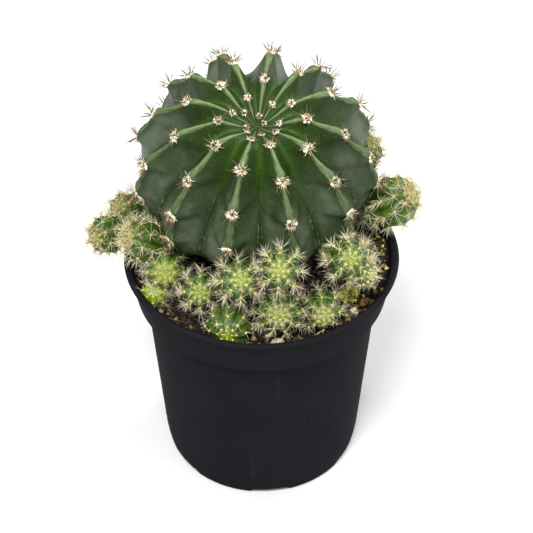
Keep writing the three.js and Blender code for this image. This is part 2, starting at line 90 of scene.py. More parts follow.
# Each pup: its middle (mm), radius (mm), length over width, where its crown points, what it grows
# from, how lime green its skin is, and how thick its bristles stand.
Pup = namedtuple("Pup", "at radius stretch crown root lime bristle")
PUPS = [
    Pup((7.7, -45.2, 138), 8.5, 1.1, (-0.06, -0.77, 0.64), "stem", 0.45, 1),
    Pup((-9.1, -44, 131.5), 8.7, 1.1, (0.08, -0.74, 0.66), "stem", 0.4, 1),
    Pup((-25.3, -33.2, 115.8), 8, 1.1, (-0.02, -0.81, 0.58), "soil", 0.5, 1),
    Pup((7.2, -43, 114), 9.8, 1.1, (0, -0.87, 0.5), "soil", 0.3, 1),
    Pup((24.8, -37.8, 109.6), 8.6, 1.25, (0.12, -0.9, 0.42), "soil", 0.4, 0.9),
    Pup((-13.4, -45, 107.3), 9.3, 1, (-0.09, -0.97, 0.21), "soil", 0.2, 0.45),
    Pup((-40.6, -18, 113.2), 9.2, 1.1, (0, -0.8, 0.6), "soil", 0.55, 0.9),
    Pup((-44.9, -23, 105.1), 6.1, 1.1, (-0.11, -0.63, 0.76), "soil", 1, 0.7),
    Pup((-49.5, -10.8, 124), 8.8, 1.3, (-0.66, -0.46, 0.59), "stem", 0.1, 1.1),
    Pup((-59.1, 16.3, 118.2), 7.8, 1.15, (-0.41, -0.51, 0.76), "stem", 0.1, 1.1),
    Pup((-66.6, 2.9, 116), 8.4, 1.15, (-0.57, -0.71, 0.41), "stem", 0.15, 1),
    Pup((36, -33, 132.8), 8.8, 1.05, (0.07, -0.71, 0.7), "stem", 0.35, 1),
    Pup((56.7, 11.6, 127), 10.9, 1.15, (0.7, -0.25, 0.67), "stem", 0.15, 1.25),
    Pup((44.8, 38.8, 133), 8.6, 1.1, (0.33, -0.27, 0.9), "stem", 0.15, 1.2),
    Pup((-44, 40, 122), 9.4, 1.15, (-0.6, 0.45, 0.66), "stem", 0.3, 1),
    Pup((-20, 57, 124), 8.7, 1.1, (-0.3, 0.75, 0.6), "stem", 0.35, 1),
    Pup((8, 59, 121.5), 9.6, 1.1, (0.1, 0.85, 0.5), "stem", 0.2, 1),
    Pup((33, 50, 123), 9, 1.2, (0.5, 0.6, 0.62), "stem", 0.4, 1),
    Pup((39, -8, 112), 8.6, 1.1, (0.45, -0.3, 0.82), "soil", 0.2, 0.8),
    Pup((-10, -25.5, 112.5), 8, 1.05, (0.05, -0.6, 0.8), "soil", 0.2, 0.8),
    Pup((-47, 14, 109.5), 7.4, 1.05, (-0.5, 0.1, 0.86), "soil", 0.3, 0.8),
]
BUD = Pup((42.8, -35.8, 128.2), 5, 1.1, (0.55, -0.72, 0.42), "stem", 0.95, 0.45)
BUD_PARENT = 11  # the index of the pup that the bud has grown together with
GOLDEN = 0.18  # pups with less lime in their skin are old, with golden bristles at the crown
TAIL_FROM, TAIL_TO = 0.82, 0.38  # a tail's radius at the pup's middle and at its root, over the pup's
FIRST_DOT, DOT_STEP = 0.26, 0.30  # a pup's areoles down a rib, in quarter arcs from its crown
# A pup's root in the soil: its height, and its distance from the pot's axis over the pup's own. In the
# stem: the point that roots lie towards, their share of the way out from it, and where that way ends.
SOIL_ROOT, SOIL_ROOT_DRAW = 97 * MM, 0.86
STEM_HEART, STEM_ROOT_OUT, UNDER_PUP = np.array([0, 0, -22 * MM]), 0.38, (0, 0, 3 * MM)
COLLAR_RISE = 17.1 * MM  # from the collar's lower edge to the pot's lip
FOOT_TOP = 7.5 * MM  # where the pot's rounded foot ends
# In millimetres: the soil's heap (middle, width), two mounds against the right-hand wall (middle,
# width, height), and the radius at which heap and waves have faded.
HEAP = (-2, 22, 30)
MOUNDS = ((55, 8, 10, 5.2), (52, -10, 8, 3.2))
SOIL_REACH = 55.2
UV_COLUMNS = 64  # small repeats share a map of this many upright columns, one random column each
WOOL_TOP = 0.28  # in that map, wool lies below this height and spines above it


# ---- sizes and colours that a user changes
def length(name, default, description):
    """A length whose default is given in millimetres."""
    return FloatProperty(name=name, default=default * MM, description=description, unit="LENGTH", precision=5)


def colour(name, default, description):
    return FloatVectorProperty(
        name=name, default=default, description=description, subtype="COLOR", size=3, min=0, max=1
    )


class PotSettings(bpy.types.PropertyGroup):
    height: length("Height", 109, "From the table to the top of the lip")
    rim: length("Lip radius", 60, "Outer radius of the lip")
    collar_top: length("Collar top", 58.4, "Outer radius of the collar under the lip")
    collar_foot: length("Collar foot", 55.2, "Outer radius of the collar's lower edge")
    collar_depth: length("Collar depth", 19.7, "From the top of the lip to the collar's lower edge")
    wall_top: length("Wall top", 51.1, "Outer radius of the wall under the collar")
    wall_foot: length("Wall foot", 44.6, "Outer radius of the wall above its rounded foot")
    foot: length("Foot", 42.9, "Outer radius of the ring that the pot stands on")
    wall: length("Thickness", 1.4, "Thickness of the plastic")
    plastic: colour("Plastic", (0.01, 0.0096, 0.0125), "Colour of the plastic")
    dust: colour("Dust", (0.32, 0.3, 0.28), "Colour of the dust specks")


class SoilSettings(bpy.types.PropertyGroup):
    edge: length("Level", 101, "Height of the soil at the pot's wall")
    heap: length("Heap", 8.5, "How far the soil rises round the main stem's foot")
    roughness: length("Roughness", 2.1, "Height of the lumps in the soil")
    crumbs: IntProperty(name="Crumbs", default=5200, min=0, description="Loose crumbs on the soil")
    peat: colour("Peat", (0.0075, 0.0052, 0.0034), "Colour of the wet peat")
    fibre: colour("Fibre", (0.3, 0.2, 0.07), "Colour of the dry fibres and tan specks")
    moss: colour("Moss", (0.66, 0.63, 0.1), "Colour of the moss crumbs")


class StemSettings(bpy.types.PropertyGroup):
    radius: length("Radius", 51.5, "Radius over the rib crests")
    crown: length("Crown", 41, "From the middle to the crown, before its hollow")
    hollow: length("Hollow", 14.8, "Depth of the hollow in the crown")
    under: length("Underside", 40, "From the middle to the bottom of the globe")
    furrow: length("Furrow", 14.5, "Depth between two ribs, down to the globe's shoulder")
    low_furrow: length("Low furrow", 3.5, "Depth between two ribs at the globe's underside")
    base: length("Foot radius", 27, "Radius of the short foot in the soil")
    base_end: length("Foot end", 56, "From the middle to the foot's lowest point")
    spine: length("Spine", 6.2, "Length of a spine")
    flank: colour("Flank", (0.0145, 0.0295, 0.0056), "Colour of the ribs' flanks")
    # Crest: the crests' own paler colour; the skin brightens it towards the crown as painted highlight
    crest: colour("Crest", (0.082, 0.12, 0.046), "Colour of the ribs' crests")
    young: colour("Young skin", (0.029, 0.073, 0.0008), "Colour deep in the furrows near the crown")
    # Grey of the waxy bloom, with painted reflection of the side lights mixed in
    bloom_and_reflection: colour("Bloom", (0.086, 0.109, 0.072), "Colour of the waxy bloom")
    cork: colour("Cork", (0.24, 0.17, 0.035), "Colour of the corky rib bases")


class PupSettings(bpy.types.PropertyGroup):
    spine: length("Bristle", 5, "Length of a bristle")
    wool: length("Areole", 0.62, "Radius of the wool in an areole")
    furrow: FloatProperty(
        name="Furrow", default=0.13, subtype="FACTOR", min=0, max=1,
        description="Depth between two ribs, as a share of the pup's radius",
    )
    green: colour("Green", (0.034, 0.079, 0.0035), "Colour of an older pup")
    lime: colour("Lime", (0.25, 0.38, 0.003), "Colour of young skin")


class StageSettings(bpy.types.PropertyGroup):
    elevation: FloatProperty(
        name="Elevation", default=41.5 * DEG, subtype="ANGLE",
        description="The camera's height over the horizon",
    )
    distance: length("Distance", 800, "From the camera to the point that it looks at")
    aim_aside: length("Aim aside", 2.2, "How far to the right of the pot's axis the camera looks")
    aim_height: length("Aim height", 99.9, "Height of the point that the camera looks at")
    focal: FloatProperty(name="Focal length", default=123.06, description="In millimetres, on a 36 mm frame")
    floor: colour("Floor", (0.64, 0.64, 0.64), "Colour of the floor")


# ---- numbers on whole arrays
def unit(vectors):
    return vectors / np.linalg.norm(vectors, axis=-1, keepdims=True)


def circle(count):
    """Even angles, once round."""
    return np.arange(count) * 2 * math.pi / count


def around_z(radius, angle, z):
    """Points (radius cos angle, radius sin angle, z)."""
    return np.stack(np.broadcast_arrays(radius * np.cos(angle), radius * np.sin(angle), z), -1)


def ring_about(way, angle):
    """Unit vectors square to way, one at each angle round it: across cos angle + (way x across) sin
    angle, where across is square to way and to Z, or to Y where way is near Z."""
    helper = np.where(np.abs(way[..., 2:]) < 0.9, (0.0, 0.0, 1.0), (0.0, 1.0, 0.0))
    across = unit(np.cross(helper, way))
    other = np.cross(way, across)
    return across[..., None, :] * np.cos(angle)[..., None] + other[..., None, :] * np.sin(angle)[..., None]


def turned(start, end, vectors):
    """Vectors turned by the shortest turn that takes start to end: Rodrigues' formula with
    axis = start x end, v cos + axis x v + axis (axis . v) / (1 + cos)."""
    axis = np.cross(start, end)
    cos = (start * end).sum(-1, keepdims=True)
    inline = (axis * vectors).sum(-1, keepdims=True)
    return vectors * cos + np.cross(axis, vectors) + axis * inline / (1 + cos)


def spin(angle, axis):
    """The matrix that turns by angle about X, Y or Z, which axis counts as 0, 1 or 2."""
    first, second = (axis + 1) % 3, (axis + 2) % 3
    matrix = np.eye(3)
    matrix[first, first] = matrix[second, second] = math.cos(angle)
    matrix[first, second], matrix[second, first] = -math.sin(angle), math.sin(angle)
    return matrix


def lattice(cells, seed):
    """A number from 0 to 1 for each whole-number point: its coordinates times large primes, folded
    with shifts and exclusive-or."""
    x, y, z = (cells[..., i].astype(np.uint32) for i in range(3))
    mixed = x * np.uint32(374761393) + y * np.uint32(668265263) + z * np.uint32(2246822519)
    mixed = mixed + np.uint32(seed * 3266489 + 11)
    mixed = (mixed ^ (mixed >> np.uint32(13))) * np.uint32(1274126177)
    mixed = (mixed ^ (mixed >> np.uint32(16))) * np.uint32(2654435761)
    return (mixed ^ (mixed >> np.uint32(15))) / 4294967295.0


def noise(points, size, seed=0):
    """Smooth noise from -1 to 1: lattice numbers blended by 3f^2 - 2f^3 along each axis."""
    cell = np.floor(points / size).astype(np.int64)
    f = points / size - cell
    f = f * f * (3 - 2 * f)
    total = np.zeros(points.shape[:-1])
    for corner in np.ndindex(2, 2, 2):
        weight = np.where(np.array(corner), f, 1 - f).prod(-1)
        total += weight * lattice(cell + np.array(corner), seed)
    return 2 * total - 1


def layered(points, size, layers, seed=0):
    """Noise summed over layers, each half as large and half as strong as the one before."""
    return sum(noise(points, size / 2**k, seed + k) / 2**k for k in range(layers))


def swell(distance, width):
    """A bell from 1 at distance 0: exp(-(distance / width)^2)."""
    return np.exp(-((distance / width) ** 2))


# ---- meshes from arrays
def make_piece(name, points, faces, corner_uv, slot, finish, replaced=(), attributes=None):
    """A shaded piece that rides on the part. faces is a list of arrays, one row a face; corner_uv is
    a list of arrays (faces, corners, 2), or None for a piece without a map of its own."""
    mesh = bpy.data.meshes.new(name)
    corners = np.concatenate([f.ravel() for f in faces]).astype(np.int32)
    counts = np.concatenate([np.full(len(f), f.shape[1]) for f in faces])
    mesh.vertices.add(len(points))
    mesh.vertices.foreach_set("co", np.asarray(points, np.float32).ravel())
    mesh.loops.add(len(corners))
    mesh.loops.foreach_set("vertex_index", corners)
    mesh.polygons.add(len(counts))
    mesh.polygons.foreach_set("loop_start", (np.cumsum(counts) - counts).astype(np.int32))
    if corner_uv is not None:
        flat = np.concatenate([uv.reshape(-1, 2) for uv in corner_uv]).astype(np.float32)
        mesh.uv_layers.new(name="OFBake").data.foreach_set("uv", flat.ravel())
    for key, values in (attributes or {}).items():
        mesh.attributes.new(key, "FLOAT", "POINT").data.foreach_set("value", np.asarray(values, np.float32))
    mesh.update(calc_edges=True)
    mesh.validate()
    mesh.shade_smooth()
    mesh.materials.append(finish)
    piece = bpy.data.objects.new(name, mesh)
    bpy.context.scene.collection.objects.link(piece)
    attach(piece, BODY)
    if replaced:
        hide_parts(*replaced)
    return piece


def closed_skin(rows, columns):
    """Faces and corner map of a skin with a point at each end: rows rings of columns points, the top
    point first and the bottom point last. Rings run so that quads (ring, next ring) face outwards."""
    def spot(row, column):
        return 1 + row * columns + column % columns, np.stack([column / columns, high(row) + 0 * column], -1)

    def high(row):
        return 1 - (row + 1) / (rows + 1)

    k = np.arange(columns)
    r = np.arange(rows - 1)[:, None]
    quad = [spot(row, k + over + 0 * row) for row, over in ((r, 0), (r + 1, 0), (r + 1, 1), (r, 1))]
    faces = [np.stack([index for index, _ in quad], -1).reshape(-1, 4)]
    maps = [np.stack([uv for _, uv in quad], -2).reshape(-1, 4, 2)]
    for pole, row, pair in ((0, 0, (k, k + 1)), (1 + rows * columns, rows - 1, (k + 1, k))):
        ring = [spot(row, column) for column in pair]
        faces.append(np.stack([np.full_like(k, pole)] + [index for index, _ in ring], -1))
        pole_uv = np.stack([(k + 0.5) / columns, np.full(columns, 0.0 if pole else 1.0)], -1)
        maps.append(np.stack([pole_uv] + [uv for _, uv in ring], -2))
    return faces, maps


def point_values(**rows):
    """A value for each point of a closed skin: those of the top point, the rings and the bottom one."""
    return {name: np.concatenate([np.ravel(part) for part in parts]) for name, parts in rows.items()}


def copies(rng, points, faces, around, height):
    """Many copies of a small shape, each in a random map column. points is (copies, each, 3); around
    and height are each point's place in its column and in the map."""
    count, each = points.shape[:2]
    start = (np.arange(count) * each)[:, None, None]
    faces = [(start + f).reshape(-1, f.shape[1]) for f in faces]
    left = rng.integers(0, UV_COLUMNS, count) / UV_COLUMNS
    u = left[:, None] + (0.15 + 0.7 * around) / UV_COLUMNS
    uv = np.stack([u, np.broadcast_to(height, u.shape)], -1).reshape(-1, 2)
    return points.reshape(-1, 3), faces, [uv[f] for f in faces]


def needles(rng, foot, way, long, thick, bend, sides=3, steps=2):
    """Tapered needles, all at once. With v from 0 at the foot to 1 at the tip, the middle line is
    foot + long (way v + bend v^2), and the radius is thick (1 - v)^0.5. The foot end is capped."""
    v = np.arange(steps) / steps
    middle = way[:, None] * v[:, None] + bend[:, None] * (v**2)[:, None]
    middle = foot[:, None] + middle * long[:, None, None]
    radius = thick[:, None] * (1 - v) ** 0.5
    rings = middle[:, :, None] + ring_about(way, circle(sides))[:, None] * radius[:, :, None, None]
    tip = foot + (way + bend) * long[:, None]
    points = np.concatenate([rings.reshape(len(foot), -1, 3), tip[:, None]], 1)
    k = np.arange(sides)
    after = (k + 1) % sides
    row = np.arange(steps - 1)[:, None] * sides
    quads = np.stack([row + k, row + after, row + sides + after, row + sides + k], -1).reshape(-1, 4)
    end = (steps - 1) * sides
    tips = np.stack([end + k, end + after, np.full(sides, steps * sides)], -1)
    around = np.append(np.tile((k + 0.5) / sides, steps), 0.5)
    height = WOOL_TOP + 0.02 + (0.98 - WOOL_TOP) * np.append(np.repeat(v, sides), 1)
    return copies(rng, points, [quads, tips, k[::-1][None]], around, height)


def lumps(rng, middle, way, size, flat, ragged, sides=7, rows=4, low=0.01, high=WOOL_TOP - 0.02):
    """Uneven balls, all at once: a ball of that size, pressed to flat along way, each of its points
    moved in or out by up to the share ragged. It lies from low to high in the map."""
    count = len(middle)
    flat = np.broadcast_to(flat, count)
    t = math.pi * (np.arange(rows) + 1) / (rows + 1)
    moved = 1 + ragged * (2 * rng.random((count, rows, sides)) - 1)
    out = ring_about(way, circle(sides))[:, None] * np.sin(t)[:, None, None] * moved[..., None]
    up = way[:, None, None] * (np.cos(t)[:, None] * moved)[..., None] * flat[:, None, None, None]
    rings = middle[:, None, None] + (out + up) * size[:, None, None, None]
    end = way * (flat * size)[:, None]
    points = [(middle + end)[:, None], rings.reshape(count, -1, 3), (middle - end)[:, None]]
    around = np.concatenate([[0.5], np.tile((np.arange(sides) + 0.5) / sides, rows), [0.5]])
    height = np.concatenate([[1], np.repeat((1 + np.cos(t)) / 2, sides), [0]])
    faces, _ = closed_skin(rows, sides)
    return copies(rng, np.concatenate(points, 1), faces, around, low + (high - low) * height)


def gathered(parts):
    """Several (points, faces, corner_uv) as one."""
    faces, maps, offset = [], [], 0
    for part_points, part_faces, part_map in parts:
        faces += [f + offset for f in part_faces]
        maps += part_map
        offset += len(part_points)
    return np.concatenate([part[0] for part in parts]), faces, maps


def spread_round(rng, side, down, each, scatter):
    """Directions along the skin from each areole, evenly turned with some scatter."""
    count = len(side)
    turn = np.arange(each) + rng.random((count, 1)) + scatter * rng.normal(size=(count, each))
    turn = turn * 2 * math.pi / each
    return side[:, None] * np.cos(turn)[..., None] + down[:, None] * np.sin(turn)[..., None]


def leaning(out, aside, tilt):
    """Unit vectors that lean from out towards aside by tilt: out cos tilt + aside sin tilt."""
    return unit(out[:, None] * np.cos(tilt)[..., None] + aside * np.sin(tilt)[..., None])


# ---- the main stem's form
STEM_TURN = spin(LEAN_ASIDE, 1) @ spin(LEAN_FORWARD, 0)


def stem_to_world(points):
    return points @ STEM_TURN.T + STEM_CENTRE


def furrow_share(u):
    """Depth share across half a rib, round at the crest (0), steep beside it and level towards the
    furrow (1): with x = hypot(u, 0.1), shifted and scaled to run from 0 to 1, it is 1 - (1 - x)^1.8."""
    away = (np.hypot(u, 0.1) - 0.1) / (math.hypot(1, 0.1) - 0.1)
    return 1 - (1 - away) ** 1.8


def furrow_depth(t, crest):
    """Depth between two ribs: full down to the shoulder, shallower evenly below it, and at most
    CROWN_FURROW of the crest's radius."""
    stem = bpy.context.scene.cactus_stem
    down = np.clip((t / DEG - SHOULDER) / SHOULDER, 0, 1)
    return np.minimum(stem.furrow + (stem.low_furrow - stem.furrow) * down, CROWN_FURROW * crest)


def rib_turn(s):
    """Direction of place s, where whole numbers are ribs: straight lines between their directions."""
    turns = np.concatenate([[RIB_TURNS[-1] + 2 * math.pi], RIB_TURNS, [RIB_TURNS[0] - 2 * math.pi]])
    return np.interp(s, np.arange(-1, RIBS + 1), turns)


def areole_off(rib, t):
    """Signed distance down the rib from the nearest areole, in steps, and 1 where there is any."""
    steps = (t - FIRST_AREOLE[rib]) / AREOLE_STEP[rib]
    steps = np.sign(steps) * np.abs(steps) ** (1 / STEP_GROWTH)
    inside = (steps > -0.5) & (t < LAST_AREOLE + 0.5 * AREOLE_STEP[rib])
    return steps - np.round(steps), inside * 1.0


def stem_point(s, t):
    """Point of the globe in its own frame. s counts ribs round it (a whole number is a crest), t is
    the polar angle. The crest runs on an ellipse with a hollow at the crown, and a flank falls from
    it by furrow_depth times furrow_share. Each crest swells to a broad shoulder just above an areole
    and dips to a narrow ridge below it."""
    stem = bpy.context.scene.cactus_stem
    rib = np.round(s).astype(int) % RIBS
    u = np.abs(2 * (s - np.round(s)))
    off, there = areole_off(rib, t)
    shoulder, dip = swell(off + 0.12, 0.18) * there, swell(off - 0.3, 0.22) * there
    flat = 0.2 * shoulder * np.clip(2 * np.sin(t), 0, 1)
    crest = stem.radius * np.sin(t)
    depth = furrow_depth(t, crest) * furrow_share(np.maximum(u - flat, 0) / (1 - flat))
    depth = depth + 0.35 * MM * swell(1 - u, 0.03)
    hollow = stem.hollow * swell(t, 0.295)
    height = np.where(t < math.pi / 2, stem.crown * np.cos(t) - hollow, stem.under * np.cos(t))
    knob = (1.1 * shoulder - 0.7 * dip) * MM * swell(u, 0.26) * np.clip(2.4 * np.sin(t), 0, 1)
    r = crest - depth * np.sin(np.maximum(t, 0.6)) + knob * np.sin(t)
    z = height - depth * np.cos(t) * 0.6 + knob * np.cos(t)
    point = around_z(r, rib_turn(s), z)
    uneven = 0.5 * noise(point, 17 * MM, 3) + 0.12 * noise(point, 5 * MM, 4)
    away = unit(point + (0, 0, 1e-9))
    return point + away * (uneven * MM * np.clip(2 * np.sin(t), 0, 1))[..., None]


def stem_areoles():
    """Foot points, outward, downward and sideways directions of every areole, its polar angle and
    its size (young ones at the crown are small)."""
    places = []
    for rib in range(RIBS):
        old = FIRST_AREOLE[rib] + AREOLE_STEP[rib] * np.arange(6) ** STEP_GROWTH
        young = FIRST_AREOLE[rib] - 0.6 * AREOLE_STEP[rib]
        places += [(rib, a) for a in [*old[old < LAST_AREOLE], young] if a > 3 * DEG]
    s, t = np.array(places, float).T
    size = np.minimum(1.0, 0.44 + t / (46 * DEG))
    reach = 0.1
    down = unit(stem_point(s, t + reach) - stem_point(s, np.maximum(t - reach, 0.01)))
    side = unit(stem_point(s - reach, t) - stem_point(s + reach, t))
    out = unit(np.cross(down, side))
    turn = STEM_TURN.T
    return stem_to_world(stem_point(s, t)), out @ turn, down @ turn, side @ turn, t, size


def stem_clearance(points):
    """How far points lie outside the stem, about, in metres: the point's radius over that of the
    ribbed skin in its direction."""
    stem = bpy.context.scene.cactus_stem
    local = (points - STEM_CENTRE) @ STEM_TURN
    rho = np.hypot(local[..., 0], local[..., 1]) / stem.radius
    height = local[..., 2] / np.where(local[..., 2] > 0, stem.crown, stem.under)
    turn = np.arctan2(local[..., 1], local[..., 0])
    turn = RIB_TURNS[0] - np.mod(RIB_TURNS[0] - turn, 2 * math.pi)
    s = np.interp(-turn, -np.append(RIB_TURNS, RIB_TURNS[0] - 2 * math.pi), np.arange(RIBS + 1))
    u = np.abs(2 * (s - np.round(s)))
    t = np.arctan2(rho, height)
    depth = furrow_depth(t, stem.radius * np.sin(t)) * furrow_share(u)
    return (np.hypot(rho, height) - 1) * stem.radius + depth


# ---- the pups' form
# A curve from one point and tangent to another, over the powers of its share h: rows h^3, h^2, h, 1,
# columns the first point, its tangent, the last point, its tangent.
HERMITE = np.array([[2, 1, -2, 1], [-3, -2, 3, -1], [0, 1, 0, 0], [1, 0, 0, 0]])


def pup_root(pup):
    """The point inside the main stem or the soil that a pup grows from."""
    at = np.array(pup.at) * MM
    if pup.root == "soil":
        return np.array([at[0] * SOIL_ROOT_DRAW, at[1] * SOIL_ROOT_DRAW + MM, SOIL_ROOT])
    return (at - UNDER_PUP) * STEM_ROOT_OUT + stem_to_world(STEM_HEART) * (1 - STEM_ROOT_OUT)


def pup_ribs(pup):
    """An even number, so that every other rib can be staggered."""
    return 8 if pup.radius < 9.5 else 10


def pup_arc(pup):
    """Length of a pup's quarter arc from crown to widest ring, and of its way from there to its root."""
    quarter = math.pi / 2 * (pup.radius * MM) * math.sqrt((1 + pup.stretch**2) / 2)
    return quarter, 1.04 * np.linalg.norm(np.array(pup.at) * MM - pup_root(pup))


def rib_place(s, q):
    """Across half a rib, from 0 at its crest to 1, and down it from the nearest areole, in steps.
    Areoles lie at arcs q = 0.26 + 0.30 k, half a step lower on every other rib."""
    rib = np.round(s).astype(int)
    k = (q - FIRST_DOT) / DOT_STEP - 0.5 * (rib % 2)
    return np.abs(2 * (s - rib)), k - np.round(k)


def pup_point(pup, s, q):
    """Point of a pup. s counts ribs round it; q is the distance down its skin in quarter arcs, 0 at
    the crown and 1 at the widest ring. Above that ring it is half an ellipsoid with a dimple. Below
    it, rings follow a Hermite curve to the root, with the larger radius of the ellipsoid and of a
    tail that narrows evenly. Each rib has a knob at each areole."""
    settings = bpy.context.scene.cactus_pup
    radius = pup.radius * MM
    at, root, crown = np.array(pup.at) * MM, pup_root(pup), unit(np.array(pup.crown, float))
    quarter, way_length = pup_arc(pup)
    u, off = rib_place(s, q)
    t = np.minimum(q, 1) * math.pi / 2
    w = np.clip((q - 1) * quarter / way_length, 0, 1)
    sunk = np.clip(w * way_length / (radius * pup.stretch), 0, 1)
    egg = np.sqrt(np.maximum(1 - sunk**2, 0))
    tail = TAIL_FROM + (TAIL_TO - TAIL_FROM) * w
    joined = (egg**9 + tail**9) ** (1 / 9) / (1 + TAIL_FROM**9) ** (1 / 9) ** (1 - w)
    depth = settings.furrow * (u**1.3) * np.clip(2.2 * np.sin(t), 0, 1) * (1 - 0.6 * w)
    knob = 0.07 * swell(off, 0.26) * (1 - u) ** 1.5 * np.clip(2.5 * np.sin(t), 0, 1) * (1 - w)
    reach = radius * np.where(q < 1, np.sin(t), joined) * (1 - depth + knob)
    rise = radius * (pup.stretch * np.cos(t) - 0.12 * swell(t, 0.35))
    ends = HERMITE @ np.stack([at, -crown * way_length * 0.9, root, (root - at) * 0.9])
    path = np.stack([w**3, w**2, w, w**0], -1) @ ends
    slope = np.stack([3 * w**2, 2 * w, w**0, 0 * w], -1) @ ends
    axis = unit(-slope)
    flat = turned(crown, axis, ring_about(crown, s * 2 * math.pi / pup_ribs(pup)))
    return path + flat * reach[..., None] + axis * np.where(q < 1, rise, 0)[..., None]


def pup_skin(pup, seed):
    """A pup's skin as one closed surface of rings, with fine unevenness, and its attributes."""
    quarter, way_length = pup_arc(pup)
    per_rib, upper, lower = 12, 30, 24
    columns = pup_ribs(pup) * per_rib
    far = 1 + way_length / quarter
    q = np.concatenate([(np.arange(upper) + 1) / (upper + 1), np.linspace(1, far, lower)])
    s_grid, q_grid = np.meshgrid(np.arange(columns) / per_rib, q)
    grid = pup_point(pup, s_grid, q_grid)
    uneven = 0.14 * noise(grid, 2.6 * MM, seed) * MM
    grid = grid + unit(grid - np.array(pup.at) * MM) * uneven[..., None]
    top = pup_point(pup, np.zeros(1), np.zeros(1))
    points = np.concatenate([top, grid.reshape(-1, 3), pup_root(pup)[None]])
    u, off = rib_place(s_grid, q_grid)
    values = point_values(across=(0, u, 0), down=(0, q_grid / 2.5, 1), knob=(0, swell(off, 0.3) * (1 - u), 0))
    return points, *closed_skin(len(q), columns), values


def pup_areoles(pup):
    """Feet, outward and downward directions of a pup's areoles, and how far down they lie."""
    quarter, way_length = pup_arc(pup)
    last = min(1 + 0.75 * way_length / quarter, 2.1)
    rows = []
    for rib in range(pup_ribs(pup)):
        q = FIRST_DOT + DOT_STEP * (np.arange(8) + 0.5 * (rib % 2))
        young = [0.06] if rib in (1, 4, 6) else []
        q = np.concatenate([q[q < last], [q[0] - (0.18 if rib % 2 else 0.13)], young])
        rows.append(np.stack([np.full(len(q), float(rib)), q], -1))
    s, q = np.concatenate(rows).T
    step = 0.02
    down = unit(pup_point(pup, s, q + step) - pup_point(pup, s, np.maximum(q - step, 0.001)))
    side = unit(pup_point(pup, s + 0.05, q) - pup_point(pup, s - 0.05, q))
    out = unit(np.cross(down, side))
    feet = pup_point(pup, s, q)
    outward = np.sign(((feet - np.array(pup.at) * MM) * out).sum(-1, keepdims=True))
    return feet, out * outward, down, q


# ---- the pot's and the soil's form
def pot_outside(z):
    """Outer radius of the pot's side at height z: the collar's slope, or the wall's under it."""
    pot = bpy.context.scene.cactus_pot
    foot_z = pot.height - pot.collar_depth
    collar = pot.collar_foot + (pot.collar_top - pot.collar_foot) * np.clip((z - foot_z) / COLLAR_RISE, 0, 1)
    up = np.clip((z - FOOT_TOP) / (foot_z - FOOT_TOP), 0, 1)
    return np.where(z > foot_z, collar, pot.wall_foot + (pot.wall_top - pot.wall_foot) * up)


def soil_top(x, y):
    """Height of the soil: its edge level, a heap (bell) round the stem's foot and low waves, both
    fading to nothing at the pot's wall, and two mounds (bells) against the right-hand wall."""
    soil = bpy.context.scene.cactus_soil
    x, y = x / MM, y / MM

    def bell(at_x, at_y, wide):
        return swell(np.hypot(x - at_x, y - at_y), wide)

    mounds = sum(high * bell(*place) for *place, high in MOUNDS)
    rim = (np.hypot(x, y) / SOIL_REACH) ** 2
    wave = np.sin(x * 0.21 + 1) * np.cos(y * 0.17) + 0.6 * np.sin(x * 0.4 + y * 0.33)
    return soil.edge + (soil.heap * bell(*HEAP) + 0.6 * MM * wave) * (1 - rim) + mounds * MM


def soil_surface(x, y):
    """The soil's height with its lumps: layered noise, sharpened to crumbs."""
    point = np.stack([x, y, 0 * x], -1)
    lumpy = layered(point, 7 * MM, 4, 21) + 0.55 * np.abs(noise(point, 1.6 * MM, 29))
    return soil_top(x, y) + bpy.context.scene.cactus_soil.roughness * (lumpy - 0.25) * 0.7


def on_soil(x, y, above):
    """Points that far above the soil's surface."""
    return np.stack([x, y, soil_surface(x, y) + above], -1)


def rounded(corners, steps=5):
    """A profile whose corners (radius from the axis, height, rounding) become arcs of a parabola:
    between the points that lie the rounding away on both sides."""
    out = []
    for i, (r, z, soft) in enumerate(corners):
        here = np.array([r, z])
        if soft == 0 or i in (0, len(corners) - 1):
            out.append(here)
            continue
        before, after = (unit(np.array(corners[j][:2]) - here) * soft for j in (i - 1, i + 1))
        out += [here + before * (1 - t) ** 2 + after * t**2 for t in np.linspace(0, 1, steps)]
    return np.array(out)


# ---- finishes
class Value:
    """A socket's value. Arithmetic on it adds Math nodes to its tree."""

    def __init__(self, finish, socket):
        self.finish = finish
        self.socket = socket

    def math(self, operation, *values):
        return self.finish.node("Math", {"operation": operation}, dict(enumerate(values)))

    def __add__(self, other):
        return self.math("ADD", self, other)

    def __sub__(self, other):
        return self.math("SUBTRACT", self, other)

    def __rsub__(self, other):
        return self.math("SUBTRACT", other, self)

    def __mul__(self, other):
        return self.math("MULTIPLY", self, other)

    __radd__ = __add__
    __rmul__ = __mul__


